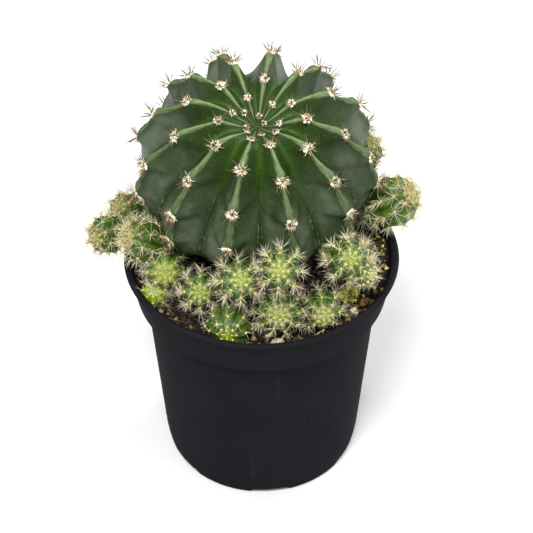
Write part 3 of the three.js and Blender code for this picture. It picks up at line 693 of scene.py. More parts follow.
class Finish:
    """A material with one Principled shader, and the one method that adds every other node. What is
    painted so far is kept in base."""

    def __init__(self, name, **plain):
        self.material = bpy.data.materials.new(name)
        self.material.use_nodes = True
        self.tree = self.material.node_tree
        self.tree.nodes.clear()
        self.shader = self.tree.nodes.new("ShaderNodeBsdfPrincipled")
        output = self.tree.nodes.new("ShaderNodeOutputMaterial")
        self.tree.links.new(self.shader.outputs[0], output.inputs["Surface"])
        for key, value in plain.items():
            self.shader.inputs[key.replace("_", " ")].default_value = value

    def node(self, kind, settings=None, sockets=None, output=0):
        """A node of that kind, its settings made first, then its sockets set or linked."""
        made = self.tree.nodes.new("ShaderNode" + kind)
        for key, value in (settings or {}).items():
            if key == "stops":
                ramp = made.color_ramp.elements
                for place, _ in value[2:]:
                    ramp.new(place)
                for element, (place, shade) in zip(ramp, value):
                    element.position = place
                    element.color = (*shade, 1)
            else:
                setattr(made, key, value)
        for key, value in (sockets or {}).items():
            if isinstance(value, Value):
                self.tree.links.new(value.socket, made.inputs[key])
            else:
                made.inputs[key].default_value = value
        return Value(self, made.outputs[output])

    def attributes(self, *names):
        return [self.node("Attribute", {"attribute_name": name}, output="Fac") for name in names]

    def grain(self, size, detail=2.0, roughness=0.5, upright=1.0):
        """Noise from 0 to 1 with features of about that size, in metres, and as much longer along Z
        as upright is less than 1."""
        where = self.node("TexCoord", output="Object")
        if upright < 1:
            where = self.node("Mapping", {}, {"Vector": where, "Scale": (1.0, 1.0, upright)})
        sockets = {"Vector": where, "Scale": 1 / size, "Detail": detail, "Roughness": roughness}
        return self.node("TexNoise", {}, sockets, "Fac")

    def ramp(self, value, low, high):
        """0 up to low, 1 from high, smooth between."""
        sockets = {"Value": value, "From Min": low, "From Max": high}
        return self.node("MapRange", {"interpolation_type": "SMOOTHSTEP"}, sockets)

    def columns(self):
        """The height in the piece's own map, and a random number for each of the map's columns."""
        where = self.node("UVMap", {"uv_map": "OFBake"})
        u = self.node("SeparateXYZ", {}, {0: where})
        v = Value(self, u.socket.node.outputs[1])
        column = u.math("FLOOR", u * UV_COLUMNS)
        return v, self.node("TexWhiteNoise", {"noise_dimensions": "1D"}, {"W": column})

    def mix(self, share, first, second):
        """Colour first where share is 0 and second where it is 1."""
        first, second = (c if isinstance(c, Value) else (*c, 1) for c in (first, second))
        return self.node("Mix", {"data_type": "RGBA"}, {0: share, 6: first, 7: second}, 2)

    def paint(self, share, shade):
        """Lays that shade over what is painted so far."""
        self.base = self.mix(share, self.base, shade)

    def done(self, roughness=None, bumps=None, depth=0.0, strength=1.0, coat=None):
        """Links the colour and what else changes over the surface, and gives the material. bumps is
        a height that stands for that depth, in metres."""
        if bumps:
            sockets = {"Height": bumps, "Distance": depth, "Strength": strength}
            bumps = self.node("Bump", {}, sockets, "Normal")
        links = {"Base Color": self.base, "Roughness": roughness, "Coat Weight": coat, "Normal": bumps}
        for name, value in links.items():
            if value:
                self.tree.links.new(value.socket, self.shader.inputs[name])
        return self.material


def scaled(values, factor):
    return tuple(min(1.0, v * factor) for v in values)


def stem_finish(stem):
    """Waxy skin: bright young green low in the furrows at the crown, dark green flanks with grey waxy
    patches that are partly painted reflection, a pale line on each crest that widens down to the next
    areole, partly its own colour and partly painted highlight, painted highlights beside the crests,
    scratches, painted shade as a dark line down each furrow, cork at the base."""
    skin = Finish("stem_skin", Subsurface_Weight=0.02, Subsurface_Scale=0.003, Specular_IOR_Level=0.13,
                  Coat_Roughness=0.3)
    grain, ramp = skin.grain, skin.ramp
    across, polar, width = skin.attributes("across", "polar", "width")
    cloudy, fine = grain(13 * MM, 3), grain(1.1 * MM, 3, 0.6)
    skin.base = skin.mix(ramp(cloudy, 0.3, 0.7), scaled(stem.flank, 0.78), scaled(stem.flank, 1.28))
    skin.paint((1 - ramp(polar, 0.1, 0.4)) * (0.2 + 0.6 * ramp(across, 0.5, 0.98)), stem.young)
    flank = ramp(across, 0.08, 0.35) * (1 - ramp(across, 0.6, 0.95))
    # Grey patches on the flanks below the crown: waxy bloom, partly painted reflection of the lights
    patch = 0.16 + 0.84 * ramp(grain(19 * MM, 4, 0.6), 0.42, 0.68)
    skin.paint(flank * ramp(polar, 0.16, 0.32) * patch * 0.78, stem.bloom_and_reflection)
    scratch = ramp(grain(1.3 * MM, upright=0.12), 0.64, 0.72)
    skin.paint(scratch * ramp(across, 0.45, 0.85) * ramp(polar, 0.42, 0.56) * 0.5, (0.2, 0.24, 0.18))
    # Pale crest line: partly the crest's own paler colour, partly painted highlight of the lit ridge,
    # brightest near the crown
    line = (1 - ramp(across, width * 0.35, width * 2.0)) * (0.7 + 0.3 * ramp(grain(2.6 * MM), 0.3, 0.65))
    pale = skin.mix(ramp(polar, 0.08, 0.36), scaled(stem.crest, 1.75), stem.crest)
    skin.paint(line * (1 - 0.5 * ramp(polar, 0.26, 0.5)), pale)
    # Painted highlight: pale streaks along both sides of each crest by its shoulders; the coat below adds
    # real gloss there
    edge = ramp(across, width * 0.9, width * 1.25) * (1 - ramp(across, width * 1.4, width * 2.1))
    edge = edge * ramp(grain(5 * MM, 3), 0.42, 0.62)
    skin.paint(edge * 0.3, (0.22, 0.27, 0.18))
    furrow = ramp(across, 0.955, 0.985)
    beside = ramp(across, 0.9, 0.94) * (1 - furrow) * ramp(polar, 0.3, 0.4)
    skin.paint(beside * ramp(grain(4 * MM), 0.5, 0.62) * 0.4, (0.19, 0.23, 0.17))
    # Painted shade: a dark line down the bottom of each furrow, stronger lower on the globe
    skin.paint(furrow * (0.55 + 0.35 * ramp(polar, 0.3, 0.45)), (0.006, 0.011, 0.004))
    skin.paint(ramp(grain(0.7 * MM, 1), 0.6, 0.72) * 0.2, (0.16, 0.2, 0.12))
    corky = ramp(polar + 0.07 * (fine - 0.5) + 0.05 * (cloudy - 0.5) - 0.06 * across, 0.67, 0.715)
    skin.paint(corky * 0.9, stem.cork)
    coat = 0.05 + 0.16 * flank * ramp(polar, 0.2, 0.34) + 0.2 * edge
    bumps = fine * 0.7 + grain(0.4 * MM) * 0.4 + scratch * 0.3
    return skin.done(0.36 + 0.16 * cloudy + 0.1 * fine + 0.25 * corky, bumps, 0.2 * MM, 0.6,
                     (1 - ramp(polar, 0.5, 0.66)) * coat)


def pup_finish(settings, index, lime):
    """Waxy young skin: bright green in the furrows at the crown, dark green down the flanks, painted
    sheen on the knobs at the areoles and in glossy grey-green patches, painted shade in the furrows
    between the ribs, or lime all over on the youngest."""
    skin = Finish(f"pup_skin_{index:02d}", Subsurface_Weight=0.05, Subsurface_Scale=0.002,
                  Specular_IOR_Level=0.28, Coat_Roughness=0.18)
    grain, ramp = skin.grain, skin.ramp
    across, down, knob = skin.attributes("across", "down", "knob")
    cloudy = grain(4 * MM, 3)
    young = max(0.0, (lime - 0.5) * 2)
    dark = tuple(g * (1 - young) + l * young * 0.8 for g, l in zip(settings.green, settings.lime))
    skin.base = skin.mix(ramp(cloudy, 0.3, 0.7), scaled(dark, 0.7), scaled(dark, 1.35))
    crown = 1 - ramp(down, 0.02 + 0.05 * lime + 0.2 * young, 0.11 + 0.18 * lime + 0.3 * young)
    skin.paint(crown * (0.55 + 0.42 * lime), settings.lime)
    # Painted sheen: a lighter green on the knob at each areole
    skin.paint(knob * (0.3 + 0.3 * lime), (0.12, 0.18, 0.035))
    # Grey-green patches near the crests: painted sheen in the colour, real gloss in the coat weight
    gloss_and_painted_sheen = ramp(grain(2.4 * MM), 0.55, 0.7) * (1 - ramp(across, 0.3, 0.8)) * 0.35
    skin.paint(gloss_and_painted_sheen, (0.17, 0.23, 0.1))
    # Painted shade: darker deep in the furrows between the ribs
    skin.paint(ramp(across, 0.6, 1.0) * 0.62, scaled(dark, 0.36))
    skin.paint(ramp(down, 0.62, 0.8) * 0.6, (0.12, 0.12, 0.04))
    bumps = grain(0.6 * MM, 3) + 0.5 * cloudy
    return skin.done(0.28 + 0.22 * cloudy, bumps, 0.1 * MM, 0.5, 0.05 + 0.5 * gloss_and_painted_sheen)


def bristle_finish(name, wool, foot, shaft, tip, tip_from):
    """Wool and spines, coloured by their own map alone: wool lies in its lower part, a spine from
    foot to tip in its upper part, and each column of the map is a little lighter or darker."""
    hair = Finish(name, Specular_IOR_Level=0.35)
    v, draw = hair.columns()
    stops = [(0.0, wool[0]), (0.14, wool[1]), (WOOL_TOP - 0.02, wool[2]), (WOOL_TOP, foot),
             (0.3 + 0.7 * tip_from * 0.4, shaft), (0.3 + 0.7 * tip_from, shaft),
             (0.3 + 0.7 * (tip_from + 0.12), tip), (1.0, tip)]
    hair.base = hair.node("ValToRGB", {"stops": stops}, {0: v})
    hair.paint(draw * 0.4, scaled(shaft, 0.62))
    return hair.done(0.5 + 0.3 * draw)


def pot_finish(pot):
    """Near-black moulded plastic: satin, with a fine grain, faint upright scuffs and dust specks."""
    plastic = Finish("pot_plastic", Specular_IOR_Level=0.03)
    grain, ramp = plastic.grain, plastic.ramp
    fine, broad = grain(0.5 * MM), grain(22 * MM, 3)
    scuff = ramp(grain(2.2 * MM, upright=0.06), 0.6, 0.78)
    speck = ramp(grain(1.2 * MM, 2, 0.7), 0.74, 0.8) * ramp(broad, 0.4, 0.7)
    plastic.base = plastic.mix(ramp(broad, 0.3, 0.7), scaled(pot.plastic, 0.9), scaled(pot.plastic, 1.12))
    plastic.paint(scuff * 0.018, pot.dust)
    plastic.paint(speck * 0.3, pot.dust)
    return plastic.done(0.68 + 0.12 * broad + 0.08 * fine + 0.1 * scuff, fine + 0.4 * scuff, 0.05 * MM, 0.35)


def soil_finish(soil):
    """Wet peat with lighter lumps and tan fibres."""
    peat = Finish("soil_peat", Specular_IOR_Level=0.1)
    lump = peat.grain(2.5 * MM, 4, 0.6)
    fleck = peat.ramp(peat.grain(0.9 * MM, 3, 0.7), 0.6, 0.7)
    peat.base = peat.mix(peat.ramp(lump, 0.4, 0.65), soil.peat, scaled(soil.peat, 2.2))
    peat.paint(fleck * 0.35, scaled(soil.fibre, 0.4))
    return peat.done(0.75 + 0.2 * lump, lump + 0.5 * fleck, 0.6 * MM, 0.8)


def crumb_finish(name, shades):
    """Loose lumps, each coloured by its own column of the map, with a fine mottle."""
    crumb = Finish(name, Specular_IOR_Level=0.3)
    crumb.base = crumb.node("ValToRGB", {"stops": shades}, {0: crumb.columns()[1]})
    mottle = crumb.ramp(crumb.grain(0.5 * MM, 3, 0.6), 0.35, 0.7)
    crumb.paint(mottle * 0.4, scaled(shades[0][1], 0.8))
    return crumb.done(0.85 + 0.1 * mottle, mottle, 0.15 * MM, 0.6)


# ---- operators
class CACTUS_OT_stage(bpy.types.Operator):
    """The camera at the photograph's angle, a plain pale floor and soft studio light"""

    bl_idname = "cactus.stage"
    bl_label = "Stage and Camera"

    sky = 0.47  # strength of the white surroundings
    floor_half, light_aim = 6.0, np.array([0, 0, 0.12])
    # Softboxes: where each stands, how wide, and its power in watts.
    softboxes = {
        "key": ((-0.22, -0.72, 1.42), 0.5, 30),
        "fill": ((0.95, -0.5, 0.9), 0.8, 7),
        "left_back": ((-1.0, 0.55, 0.75), 0.7, 6),
        "right_back": ((0.9, 0.75, 0.8), 0.7, 14),
    }

    def execute(self, context):
        stage = context.scene.cactus_stage
        link = context.scene.collection.objects.link
        back = np.array([0, -math.cos(stage.elevation), math.sin(stage.elevation)])
        lens = bpy.data.cameras.new("camera")
        lens.lens, lens.sensor_width, lens.clip_start, lens.clip_end = stage.focal, 36, 0.01, 30
        camera = bpy.data.objects.new("camera", lens)
        camera.location = np.array([stage.aim_aside, 0, stage.aim_height]) + back * stage.distance
        camera.rotation_euler = (math.pi / 2 - stage.elevation, 0, 0)
        link(camera)
        context.scene.camera = camera

        corners = np.array([(-1, -1, 0), (1, -1, 0), (1, 1, 0), (-1, 1, 0)]) * self.floor_half
        mesh = bpy.data.meshes.new("floor")
        mesh.from_pydata(corners.tolist(), [], [(0, 1, 2, 3)])
        ground = Finish("floor_paper", Roughness=0.8)
        tone = ground.ramp(ground.grain(0.05), 0.2, 0.8)
        ground.base = ground.mix(tone, scaled(stage.floor, 0.99), stage.floor)
        mesh.materials.append(ground.done())
        floor = bpy.data.objects.new("floor", mesh)
        link(floor)
        floor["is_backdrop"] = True

        world = context.scene.world = bpy.data.worlds.new("studio")
        world.use_nodes = True
        background = world.node_tree.nodes["Background"]
        background.inputs["Color"].default_value = (1, 1, 1, 1)
        background.inputs["Strength"].default_value = self.sky
        for name, (place, width, power) in self.softboxes.items():
            light = bpy.data.lights.new(name, "AREA")
            light.shape, light.size, light.energy = "SQUARE", width, power
            box = bpy.data.objects.new(name, light)
            box.location = place
            towards = unit(self.light_aim - np.array(place))
            box.rotation_euler = (math.acos(-towards[2]), 0, math.atan2(-towards[0], towards[1]))
            link(box)
        context.scene.view_settings.view_transform = "Standard"
        return {"FINISHED"}


class CACTUS_OT_pot(bpy.types.Operator):
    """The nursery pot: a turned profile with drain holes and low arches in its standing ring"""

    bl_idname = "cactus.pot"
    bl_label = "Pot"

    sides, cutter_sides, drains = 180, 32, 6
    drain_radius, drain_circle, drain_span = 4 * MM, 26 * MM, (-4 * MM, 8 * MM)
    notch_width, notch_height, notch_reach, first_notch = 18 * MM, 2.6 * MM, 8 * MM, -84.4 * DEG
    pad, recess, ring_width, lip = 13 * MM, 2 * MM, 4 * MM, 2.6 * MM

    def profile(self, pot):
        foot_z, lip_z = pot.height - pot.collar_depth, pot.height - self.lip
        floor_z = self.recess + pot.wall
        return rounded([
            (0, 0, 0),
            (self.pad, 0, 0.3 * MM),
            (self.pad + 1.5 * MM, self.recess, 0.3 * MM),
            (pot.foot - self.ring_width - MM, self.recess, 0.3 * MM),
            (pot.foot - self.ring_width, 0, 0.3 * MM),
            (pot.foot, 0, 1.2 * MM),
            (pot.wall_foot, FOOT_TOP, 5 * MM),
            (pot.wall_top, foot_z - 0.6 * MM, 0.35 * MM),
            (pot.collar_foot - 0.9 * MM, foot_z - 0.2 * MM, 0.3 * MM),
            (pot.collar_foot, foot_z + 0.8 * MM, 0.7 * MM),
            (pot.collar_top, lip_z, 0.35 * MM),
            (pot.rim, lip_z + 0.4 * MM, 0.3 * MM),
            (pot.rim, pot.height - MM, 0.5 * MM),
            (pot.rim - MM, pot.height, 0.6 * MM),
            (pot.collar_top - pot.wall, pot.height - MM, 0.5 * MM),
            (float(pot_outside(foot_z + pot.wall)) - pot.wall, foot_z + pot.wall, 0.6 * MM),
            (pot.wall_top - pot.wall, foot_z, 0.6 * MM),
            (pot.wall_foot - pot.wall, FOOT_TOP, 3 * MM),
            (pot.foot - pot.wall - MM, floor_z, MM),
            (0, floor_z, 0),
        ])

    def cutters(self, pot):
        """Drain holes and notches as one mesh of closed tubes, round or squashed to a low box with round
        corners: a superellipse, whose cosine and sine are raised to the power 0.4."""
        angle, count = circle(self.cutter_sides), self.cutter_sides
        wide, high = (np.sign(wave) * np.abs(wave) ** 0.4 for wave in (np.cos(angle), np.sin(angle)))
        rings = []
        for turn in self.first_notch + circle(self.drains):
            half = turn + math.pi / self.drains
            middle = around_z(self.drain_circle, half, 0)
            rings += [around_z(self.drain_radius, angle, z) + middle for z in self.drain_span]
            out, aside = (around_z(1, a, 0) for a in (turn, turn + math.pi / 2))
            arch = aside * wide[:, None] * self.notch_width / 2
            arch = arch + np.array([0, 0, 1]) * high[:, None] * self.notch_height
            rings += [arch + out * (pot.foot + reach) for reach in (-self.notch_reach, self.notch_reach)]
        k = np.arange(count)
        after = (k + 1) % count
        faces = []
        for start in range(0, len(rings) * count, 2 * count):
            faces += (start + np.stack([k, after, after + count, k + count], -1)).tolist()
            faces += [(start + k[::-1]).tolist(), (start + k + count).tolist()]
        mesh = bpy.data.meshes.new("pot_cutters")
        mesh.from_pydata(np.concatenate(rings).tolist(), [], faces)
        cutter = bpy.data.objects.new("pot_cutters", mesh)
        bpy.context.scene.collection.objects.link(cutter)
        return cutter

    def execute(self, context):
        pot = context.scene.cactus_pot
        profile = self.profile(pot)[::-1]
        inner = profile[1:-1]
        rings = around_z(inner[:, :1], circle(self.sides), inner[:, 1:])
        ends = [[[0, 0, profile[i][1]]] for i in (0, -1)]
        points = np.concatenate([ends[0], rings.reshape(-1, 3), ends[1]])
        faces, _ = closed_skin(len(inner), self.sides)
        piece = make_piece("pot_shell", points, faces, None, "pot_plastic", pot_finish(pot), ["pot"])
        cutter = self.cutters(pot)
        cut = piece.modifiers.new("drains", "BOOLEAN")
        cut.operation, cut.solver, cut.object = "DIFFERENCE", "EXACT", cutter
        uncut = piece.data
        piece.data = bpy.data.meshes.new_from_object(piece.evaluated_get(context.evaluated_depsgraph_get()))
        piece.modifiers.clear()
        piece.data.name = "pot_shell"
        bpy.data.objects.remove(cutter)
        bpy.data.meshes.remove(uncut)
        piece.data.shade_smooth()
        piece.data.set_sharp_from_angle(angle=38 * DEG)
        if len(piece.data.polygons) < len(inner) * self.sides // 2:
            raise RuntimeError("the pot's drain holes were not cut")
        return {"FINISHED"}


class CACTUS_OT_soil(bpy.types.Operator):
    """The soil with its crumbs and dry fibres"""

    bl_idname = "cactus.soil"
    bl_label = "Soil"

    sides, rows, fibre_count, seed = 300, 84, 260, 5
    gap = 0.35 * MM  # between the soil and the pot's wall

    def bed(self, soil, pot, wall_r):
        """The soil's surface, its side along the pot's wall and its underside, as one closed skin."""
        angle = circle(self.sides)
        r = (wall_r * (np.arange(self.rows) + 1) / self.rows)[:, None]
        x, y = r * np.cos(angle), r * np.sin(angle)
        fade = 1 - (r / wall_r) ** 10
        top = soil_top(x, y) + (soil_surface(x, y) - soil_top(x, y)) * (0.35 + 0.65 * fade)
        foot_z = pot.height - pot.collar_depth
        side_z = [soil.edge - 2 * MM, foot_z + 3 * MM, foot_z - 0.2 * MM, 7.8 * MM, 3.7 * MM]
        side_r = [float(pot_outside(z)) - pot.wall - self.gap for z in side_z[:3]]
        side_r += [pot.wall_foot - pot.wall - self.gap, pot.foot - pot.wall - 1.6 * MM]
        side_r[2] -= 0.2 * MM
        walls = [around_z(wall, angle, z) for wall, z in zip(side_r, side_z)]
        grid = np.concatenate([around_z(r, angle, top), walls])
        middle = [[0, 0, float(soil_surface(np.zeros(1), np.zeros(1))[0])]]
        points = np.concatenate([middle, grid.reshape(-1, 3), [[0, 0, side_z[-1]]]])
        faces, _ = closed_skin(len(grid), self.sides)
        make_piece("soil_bed", points, faces, None, "soil_mix", soil_finish(soil), ["soil"])

    def strewn(self, rng, count, reach):
        """Points x, y spread evenly over a disc."""
        r = reach * np.sqrt(rng.random(count))
        a = rng.random(count) * 2 * math.pi
        return r * np.cos(a), r * np.sin(a)

    def execute(self, context):
        soil, pot = context.scene.cactus_soil, context.scene.cactus_pot
        wall_r = float(pot_outside(soil.edge)) - pot.wall - self.gap
        self.bed(soil, pot, wall_r)

        rng = np.random.default_rng(self.seed)
        count = soil.crumbs
        x, y = self.strewn(rng, count, wall_r - 0.8 * MM)
        size = (0.35 + 1.35 * rng.random(count) ** 3) * MM
        foot = on_soil(x, y, 0.25 * size)
        way = unit(rng.normal(size=(count, 3)) + (0, 0, 1.5))
        flat = 0.5 + 0.5 * rng.random(count)
        grains = lumps(rng, foot, way, size, flat, 0.34, sides=5, rows=2, low=0.02, high=0.98)
        shades = [(0.0, soil.peat), (0.45, scaled(soil.peat, 2.5)), (0.65, (0.055, 0.042, 0.018)),
                  (0.82, (0.13, 0.105, 0.04)), (0.94, scaled(soil.fibre, 0.9)), (1.0, (0.42, 0.38, 0.22))]
        make_piece("soil_crumbs", *grains, "soil_mix", crumb_finish("soil_crumb", shades))

        count = self.fibre_count
        x, y = self.strewn(rng, count, wall_r - 3 * MM)
        foot = on_soil(x, y, 0.2 * MM)
        lie = rng.random(count) * 2 * math.pi
        way = unit(around_z(1, lie, 0.1 + 0.25 * rng.random(count)))
        bend = rng.normal(size=(count, 3)) * 0.22 - (0, 0, 0.12)
        long = (2.5 + 5 * rng.random(count)) * MM
        inside = np.hypot(*(foot + (way + bend) * long[:, None])[:, :2].T) < wall_r - MM
        thick = np.full(count, 0.11 * MM)
        fibres = needles(rng, *(values[inside] for values in (foot, way, long, thick, bend)), 3, 4)
        dry = bristle_finish("soil_fibre", (soil.fibre,) * 3, scaled(soil.fibre, 0.8), soil.fibre,
                             scaled(soil.fibre, 1.3), 0.7)
        make_piece("soil_fibres", *fibres, "soil_mix", dry)
        return {"FINISHED"}


class CACTUS_OT_bits(bpy.types.Operator):
    """The two pale stones, the bark chip and the moss clump on the soil"""

    bl_idname = "cactus.bits"
    bl_label = "Stones, Bark and Moss"

    # Each: name, node, slot, place (mm), half sizes (mm), turn, shades from dark to light.
    stones = (
        ("pale_stone_front", "stone_front", "pale_stone", (6.5, -50.4), (3.4, 2, 1.8), 0.2,
         ((0.28, 0.24, 0.13), (0.62, 0.58, 0.4))),
        ("pale_stone_right", "stone_right", "pale_stone", (39, -31.5), (2.4, 2, 1.7), 0.8,
         ((0.2, 0.17, 0.1), (0.6, 0.55, 0.4))),
        ("bark_flake", "bark_chip", "bark", (44, -25), (3.2, 1.7, 1.1), 0.9,
         ((0.012, 0.007, 0.004), (0.27, 0.12, 0.03))),
    )
    moss_crumbs, moss_turn, moss_end, seed = 380, -0.62, 55.3 * MM, 8
    moss_at, moss_half = np.array([37.3, -20.3]) * MM, np.array([5.8, 3.8, 2.4]) * MM
    # The share strewn along the wall, how far from the clump, and how far they scatter.
    strewn, strewn_off, scatter = 0.32, (14 * MM, 19 * MM, 0), (4 * MM, 11 * MM, 0)

    def stone(self, name, node, slot, at, half, turn, shades):
        """A pitted lump: a ball of the half sizes, each point pushed along its ray by layered noise."""
        sides, rows = 28, 16
        t = (math.pi * (np.arange(rows) + 1) / (rows + 1))[:, None]
        ring = around_z(np.sin(t), circle(sides), np.cos(t))
        ball = np.concatenate([[[0, 0, 1]], ring.reshape(-1, 3), [[0, 0, -1]]])
        ball = ball * (1 + 0.22 * layered(ball, 0.9, 3, len(name)))[:, None]
        ball = ball * np.array(half) * MM * 0.98
        x, y = np.array(at) * MM
        place = np.array([x, y, float(soil_top(x, y)) + half[2] * 0.55 * MM])
        stone = Finish(name, Specular_IOR_Level=0.3)
        mottle = stone.grain(1.1 * MM, 4, 0.6)
        stone.base = stone.mix(stone.ramp(mottle, 0.35, 0.68), *shades)
        finish = stone.done(0.7 + 0.25 * mottle, mottle, 0.4 * MM, 0.7)
        make_piece(name, ball @ spin(turn, 2).T + place, *closed_skin(rows, sides), slot, finish, [node])

    def execute(self, context):
        soil = context.scene.cactus_soil
        for stone in self.stones:
            self.stone(*stone)
        rng = np.random.default_rng(self.seed)
        count = self.moss_crumbs
        spread = unit(rng.normal(size=(count, 3))) * rng.random((count, 1)) ** 0.4
        spread[:, 2] = np.abs(spread[:, 2])
        at = (spread * self.moss_half) @ spin(self.moss_turn, 2).T
        loose = rng.random(count) < self.strewn
        wide = np.stack([rng.normal(size=count), rng.normal(size=count), np.zeros(count)], -1)
        at[loose] = (wide * self.scatter + self.strewn_off)[loose]
        x, y = at[:, 0] + self.moss_at[0], at[:, 1] + self.moss_at[1]
        foot = on_soil(x, y, at[:, 2] * 1.2 + 0.3 * MM)
        foot = foot[np.hypot(x, y) <= self.moss_end]
        count = len(foot)
        size = (0.3 + 0.9 * rng.random(count) ** 2.5) * MM
        way = unit(rng.normal(size=(count, 3)))
        crumbs = lumps(rng, foot, way, size, 0.65, 0.42, sides=6, rows=3, low=0.02, high=0.98)
        shades = [(0.0, scaled(soil.moss, 0.15)), (0.3, scaled(soil.moss, 0.55)), (0.6, soil.moss),
                  (1.0, (0.86, 0.83, 0.4))]
        make_piece("moss_crumbs", *crumbs, "moss", crumb_finish("moss_crumb", shades), ["moss_clump"])
        return {"FINISHED"}


class CACTUS_OT_stem(bpy.types.Operator):
    """The ribbed globe with its short foot in the soil"""

    bl_idname = "cactus.stem"
    bl_label = "Main Stem"

    per_rib, rows, foot_rows = 44, 170, 5
    row_growth, crowding, foot_taper = 1.08, 0.1, 0.25
    # Width of the pale line on a crest (its paler colour and painted highlight), over half a rib: at an
    # areole, what it gains down to the next one, at the stem's foot and at the crown.
    line, line_gain, foot_line, crown_line = 0.052, 0.036, 0.055, 0.09

    def execute(self, context):
        stem = context.scene.cactus_stem
        neck = math.pi - math.asin(stem.base / stem.radius)
        t = neck * ((np.arange(self.rows) + 1) / self.rows) ** self.row_growth
        # Columns crowd at the crests and the furrows: s runs by a gentle wave within each rib.
        even = np.arange(RIBS * self.per_rib) / self.per_rib
        s = even - self.crowding * np.sin(4 * math.pi * even) / (2 * math.pi)
        s_grid, t_grid = np.meshgrid(s, t)
        grid = stem_point(s_grid, t_grid)
        last = grid[-1]
        low = np.linspace(0, 1, self.foot_rows + 1)[1:, None]
        drop = last[:, 2] + low * (-stem.base_end - last[:, 2])
        narrow = 1 - self.foot_taper * low**3
        rings = np.concatenate([grid, np.stack([last[:, 0] * narrow, last[:, 1] * narrow, drop], -1)])
        top = stem_point(np.zeros(1), np.zeros(1))
        points = np.concatenate([top, rings.reshape(-1, 3), [[0, 0, -stem.base_end]]])
        u = np.abs(2 * (s_grid - np.round(s_grid)))
        off, there = areole_off(np.round(s_grid).astype(int) % RIBS, t_grid)
        below = np.clip((np.mod(off, 1) - 0.25) / 0.6, 0, 1)  # grows from one areole down to the next
        width = self.line + (self.line_gain * below**2 * (3 - 2 * below)) * there
        width = width * (1 + swell(t_grid, 33 * DEG))
        tail = np.tile(u[-1], self.foot_rows)
        values = point_values(
            across=(0, u, tail, 0),
            polar=(0, t_grid / math.pi, np.ones(tail.size), 1),
            width=(self.crown_line, width, np.full(tail.size, self.foot_line), self.foot_line),
        )
        # s runs clockwise seen from above, so the rows are turned round to face outwards.
        faces, maps = ([rows[:, ::-1] for rows in part] for part in closed_skin(len(rings), len(s)))
        make_piece("stem_globe", stem_to_world(points), faces, maps, "stem_flesh", stem_finish(stem),
                   ["main_stem"], values)
        return {"FINISHED"}


class CACTUS_OT_stem_spines(bpy.types.Operator):
    """Wool tufts and short spines on each areole of the globe"""

    bl_idname = "cactus.stem_spines"
    bl_label = "Main Stem Spines"

    spines, old_spines, curls, tufts, specks, seed = 14, 4, 34, 13, 6, 12
    old_from = 78 * DEG  # areoles further down have a few long golden spines as well
    wool = (0.5, 0.4, 0.22), (0.86, 0.79, 0.56), (0.95, 0.91, 0.72)

    def execute(self, context):
        stem = context.scene.cactus_stem
        rng = np.random.default_rng(self.seed)
        foot, out, down, side, polar, size = stem_areoles()

        def fan(each, low, high):
            """Directions round each areole that lean by low to high degrees."""
            aside = spread_round(rng, side, down, each, 0.35)
            tilt = low * DEG + (high * DEG - low * DEG) * rng.random((len(foot), each))
            return leaning(out, aside, tilt), aside

        def grown(way, aside, far, lengths, thick, bend, sides):
            """Needles that start that far from each areole's middle."""
            each = way.shape[1]
            start = foot[:, None] + aside * (far * size)[:, None, None] + out[:, None] * 0.1 * MM
            thickness = np.repeat(thick * size**0.5, each) * (0.8 + 0.4 * rng.random(len(foot) * each))
            return needles(rng, start.reshape(-1, 3), way.reshape(-1, 3), lengths.ravel(), thickness,
                           bend.reshape(-1, 3), sides, 3)

        def scattered(reach, each):
            """Points strewn over each areole within that reach, a little longer aside than down."""
            spot = rng.random((len(foot), each)) * 2 * math.pi
            far = np.sqrt(rng.random((len(foot), each))) * reach[:, None]
            aside = side[:, None] * (np.cos(spot) * far * 1.15)[..., None]
            offset = aside + down[:, None] * (np.sin(spot) * far * 0.9)[..., None]
            return (foot[:, None] + offset + out[:, None] * 0.15 * MM).reshape(-1, 3)

        way, aside = fan(self.spines, 14, 72)
        lengths = stem.spine * (0.72 + 0.36 * rng.random(way.shape[:2])) * size[:, None] ** 1.7
        bend = aside * 0.12 + rng.normal(size=way.shape) * 0.05
        parts = [grown(way, aside, 0.8 * MM, lengths, 0.22 * MM, bend, 5)]

        middle = scattered(1.85 * MM * size, self.tufts)
        ball = (0.45 + 0.42 * rng.random(len(middle))) * MM * np.repeat(size, self.tufts)
        way = unit(np.repeat(out, self.tufts, 0) + rng.normal(size=middle.shape) * 0.25)
        parts.append(lumps(rng, middle, way, ball, 0.75, 0.24, 8, 5))
        middle = scattered(0.9 * MM * size, self.specks)
        speck = (0.2 + 0.2 * rng.random(len(middle))) * MM
        way = np.repeat(out, self.specks, 0)
        middle = middle + way * 0.62 * MM * np.repeat(size, self.specks)[:, None]
        parts.append(lumps(rng, middle, way, speck, 1, 0.3, 5, 3, 0.96, 0.99))

        way, aside = fan(self.curls, 48, 92)
        lengths = (1 + rng.random(way.shape[:2])) * MM * size[:, None]
        bend = rng.normal(size=way.shape) * 0.4
        wisps = grown(way, aside, 1.2 * MM, lengths, 0.2 * MM, bend, 3)
        parts.append((*wisps[:2], [m * (1, 0.25) for m in wisps[2]]))  # in the wool's colours
        finish = bristle_finish("stem_spines", self.wool, (0.8, 0.69, 0.42), (0.52, 0.4, 0.22),
                                (0.03, 0.02, 0.015), 0.26)
        make_piece("stem_spines", *gathered(parts), "stem_flesh", finish)

        old = polar > self.old_from
        foot, out, down, side, size = (values[old] for values in (foot, out, down, side, size))
        way, aside = fan(self.old_spines, 42, 74)
        lengths = stem.spine * (1.0 + 0.25 * rng.random(way.shape[:2]))
        bend = aside * 0.1 + rng.normal(size=way.shape) * 0.05
        golden = bristle_finish("stem_old_spines", ((0.5, 0.4, 0.24),) * 3, (0.4, 0.25, 0.08),
                                (0.42, 0.27, 0.1), (0.1, 0.05, 0.02), 0.6)
        make_piece("stem_old_spines", *grown(way, aside, 0.6 * MM, lengths, 0.2 * MM, bend, 5),
                   "stem_flesh", golden)
        return {"FINISHED"}


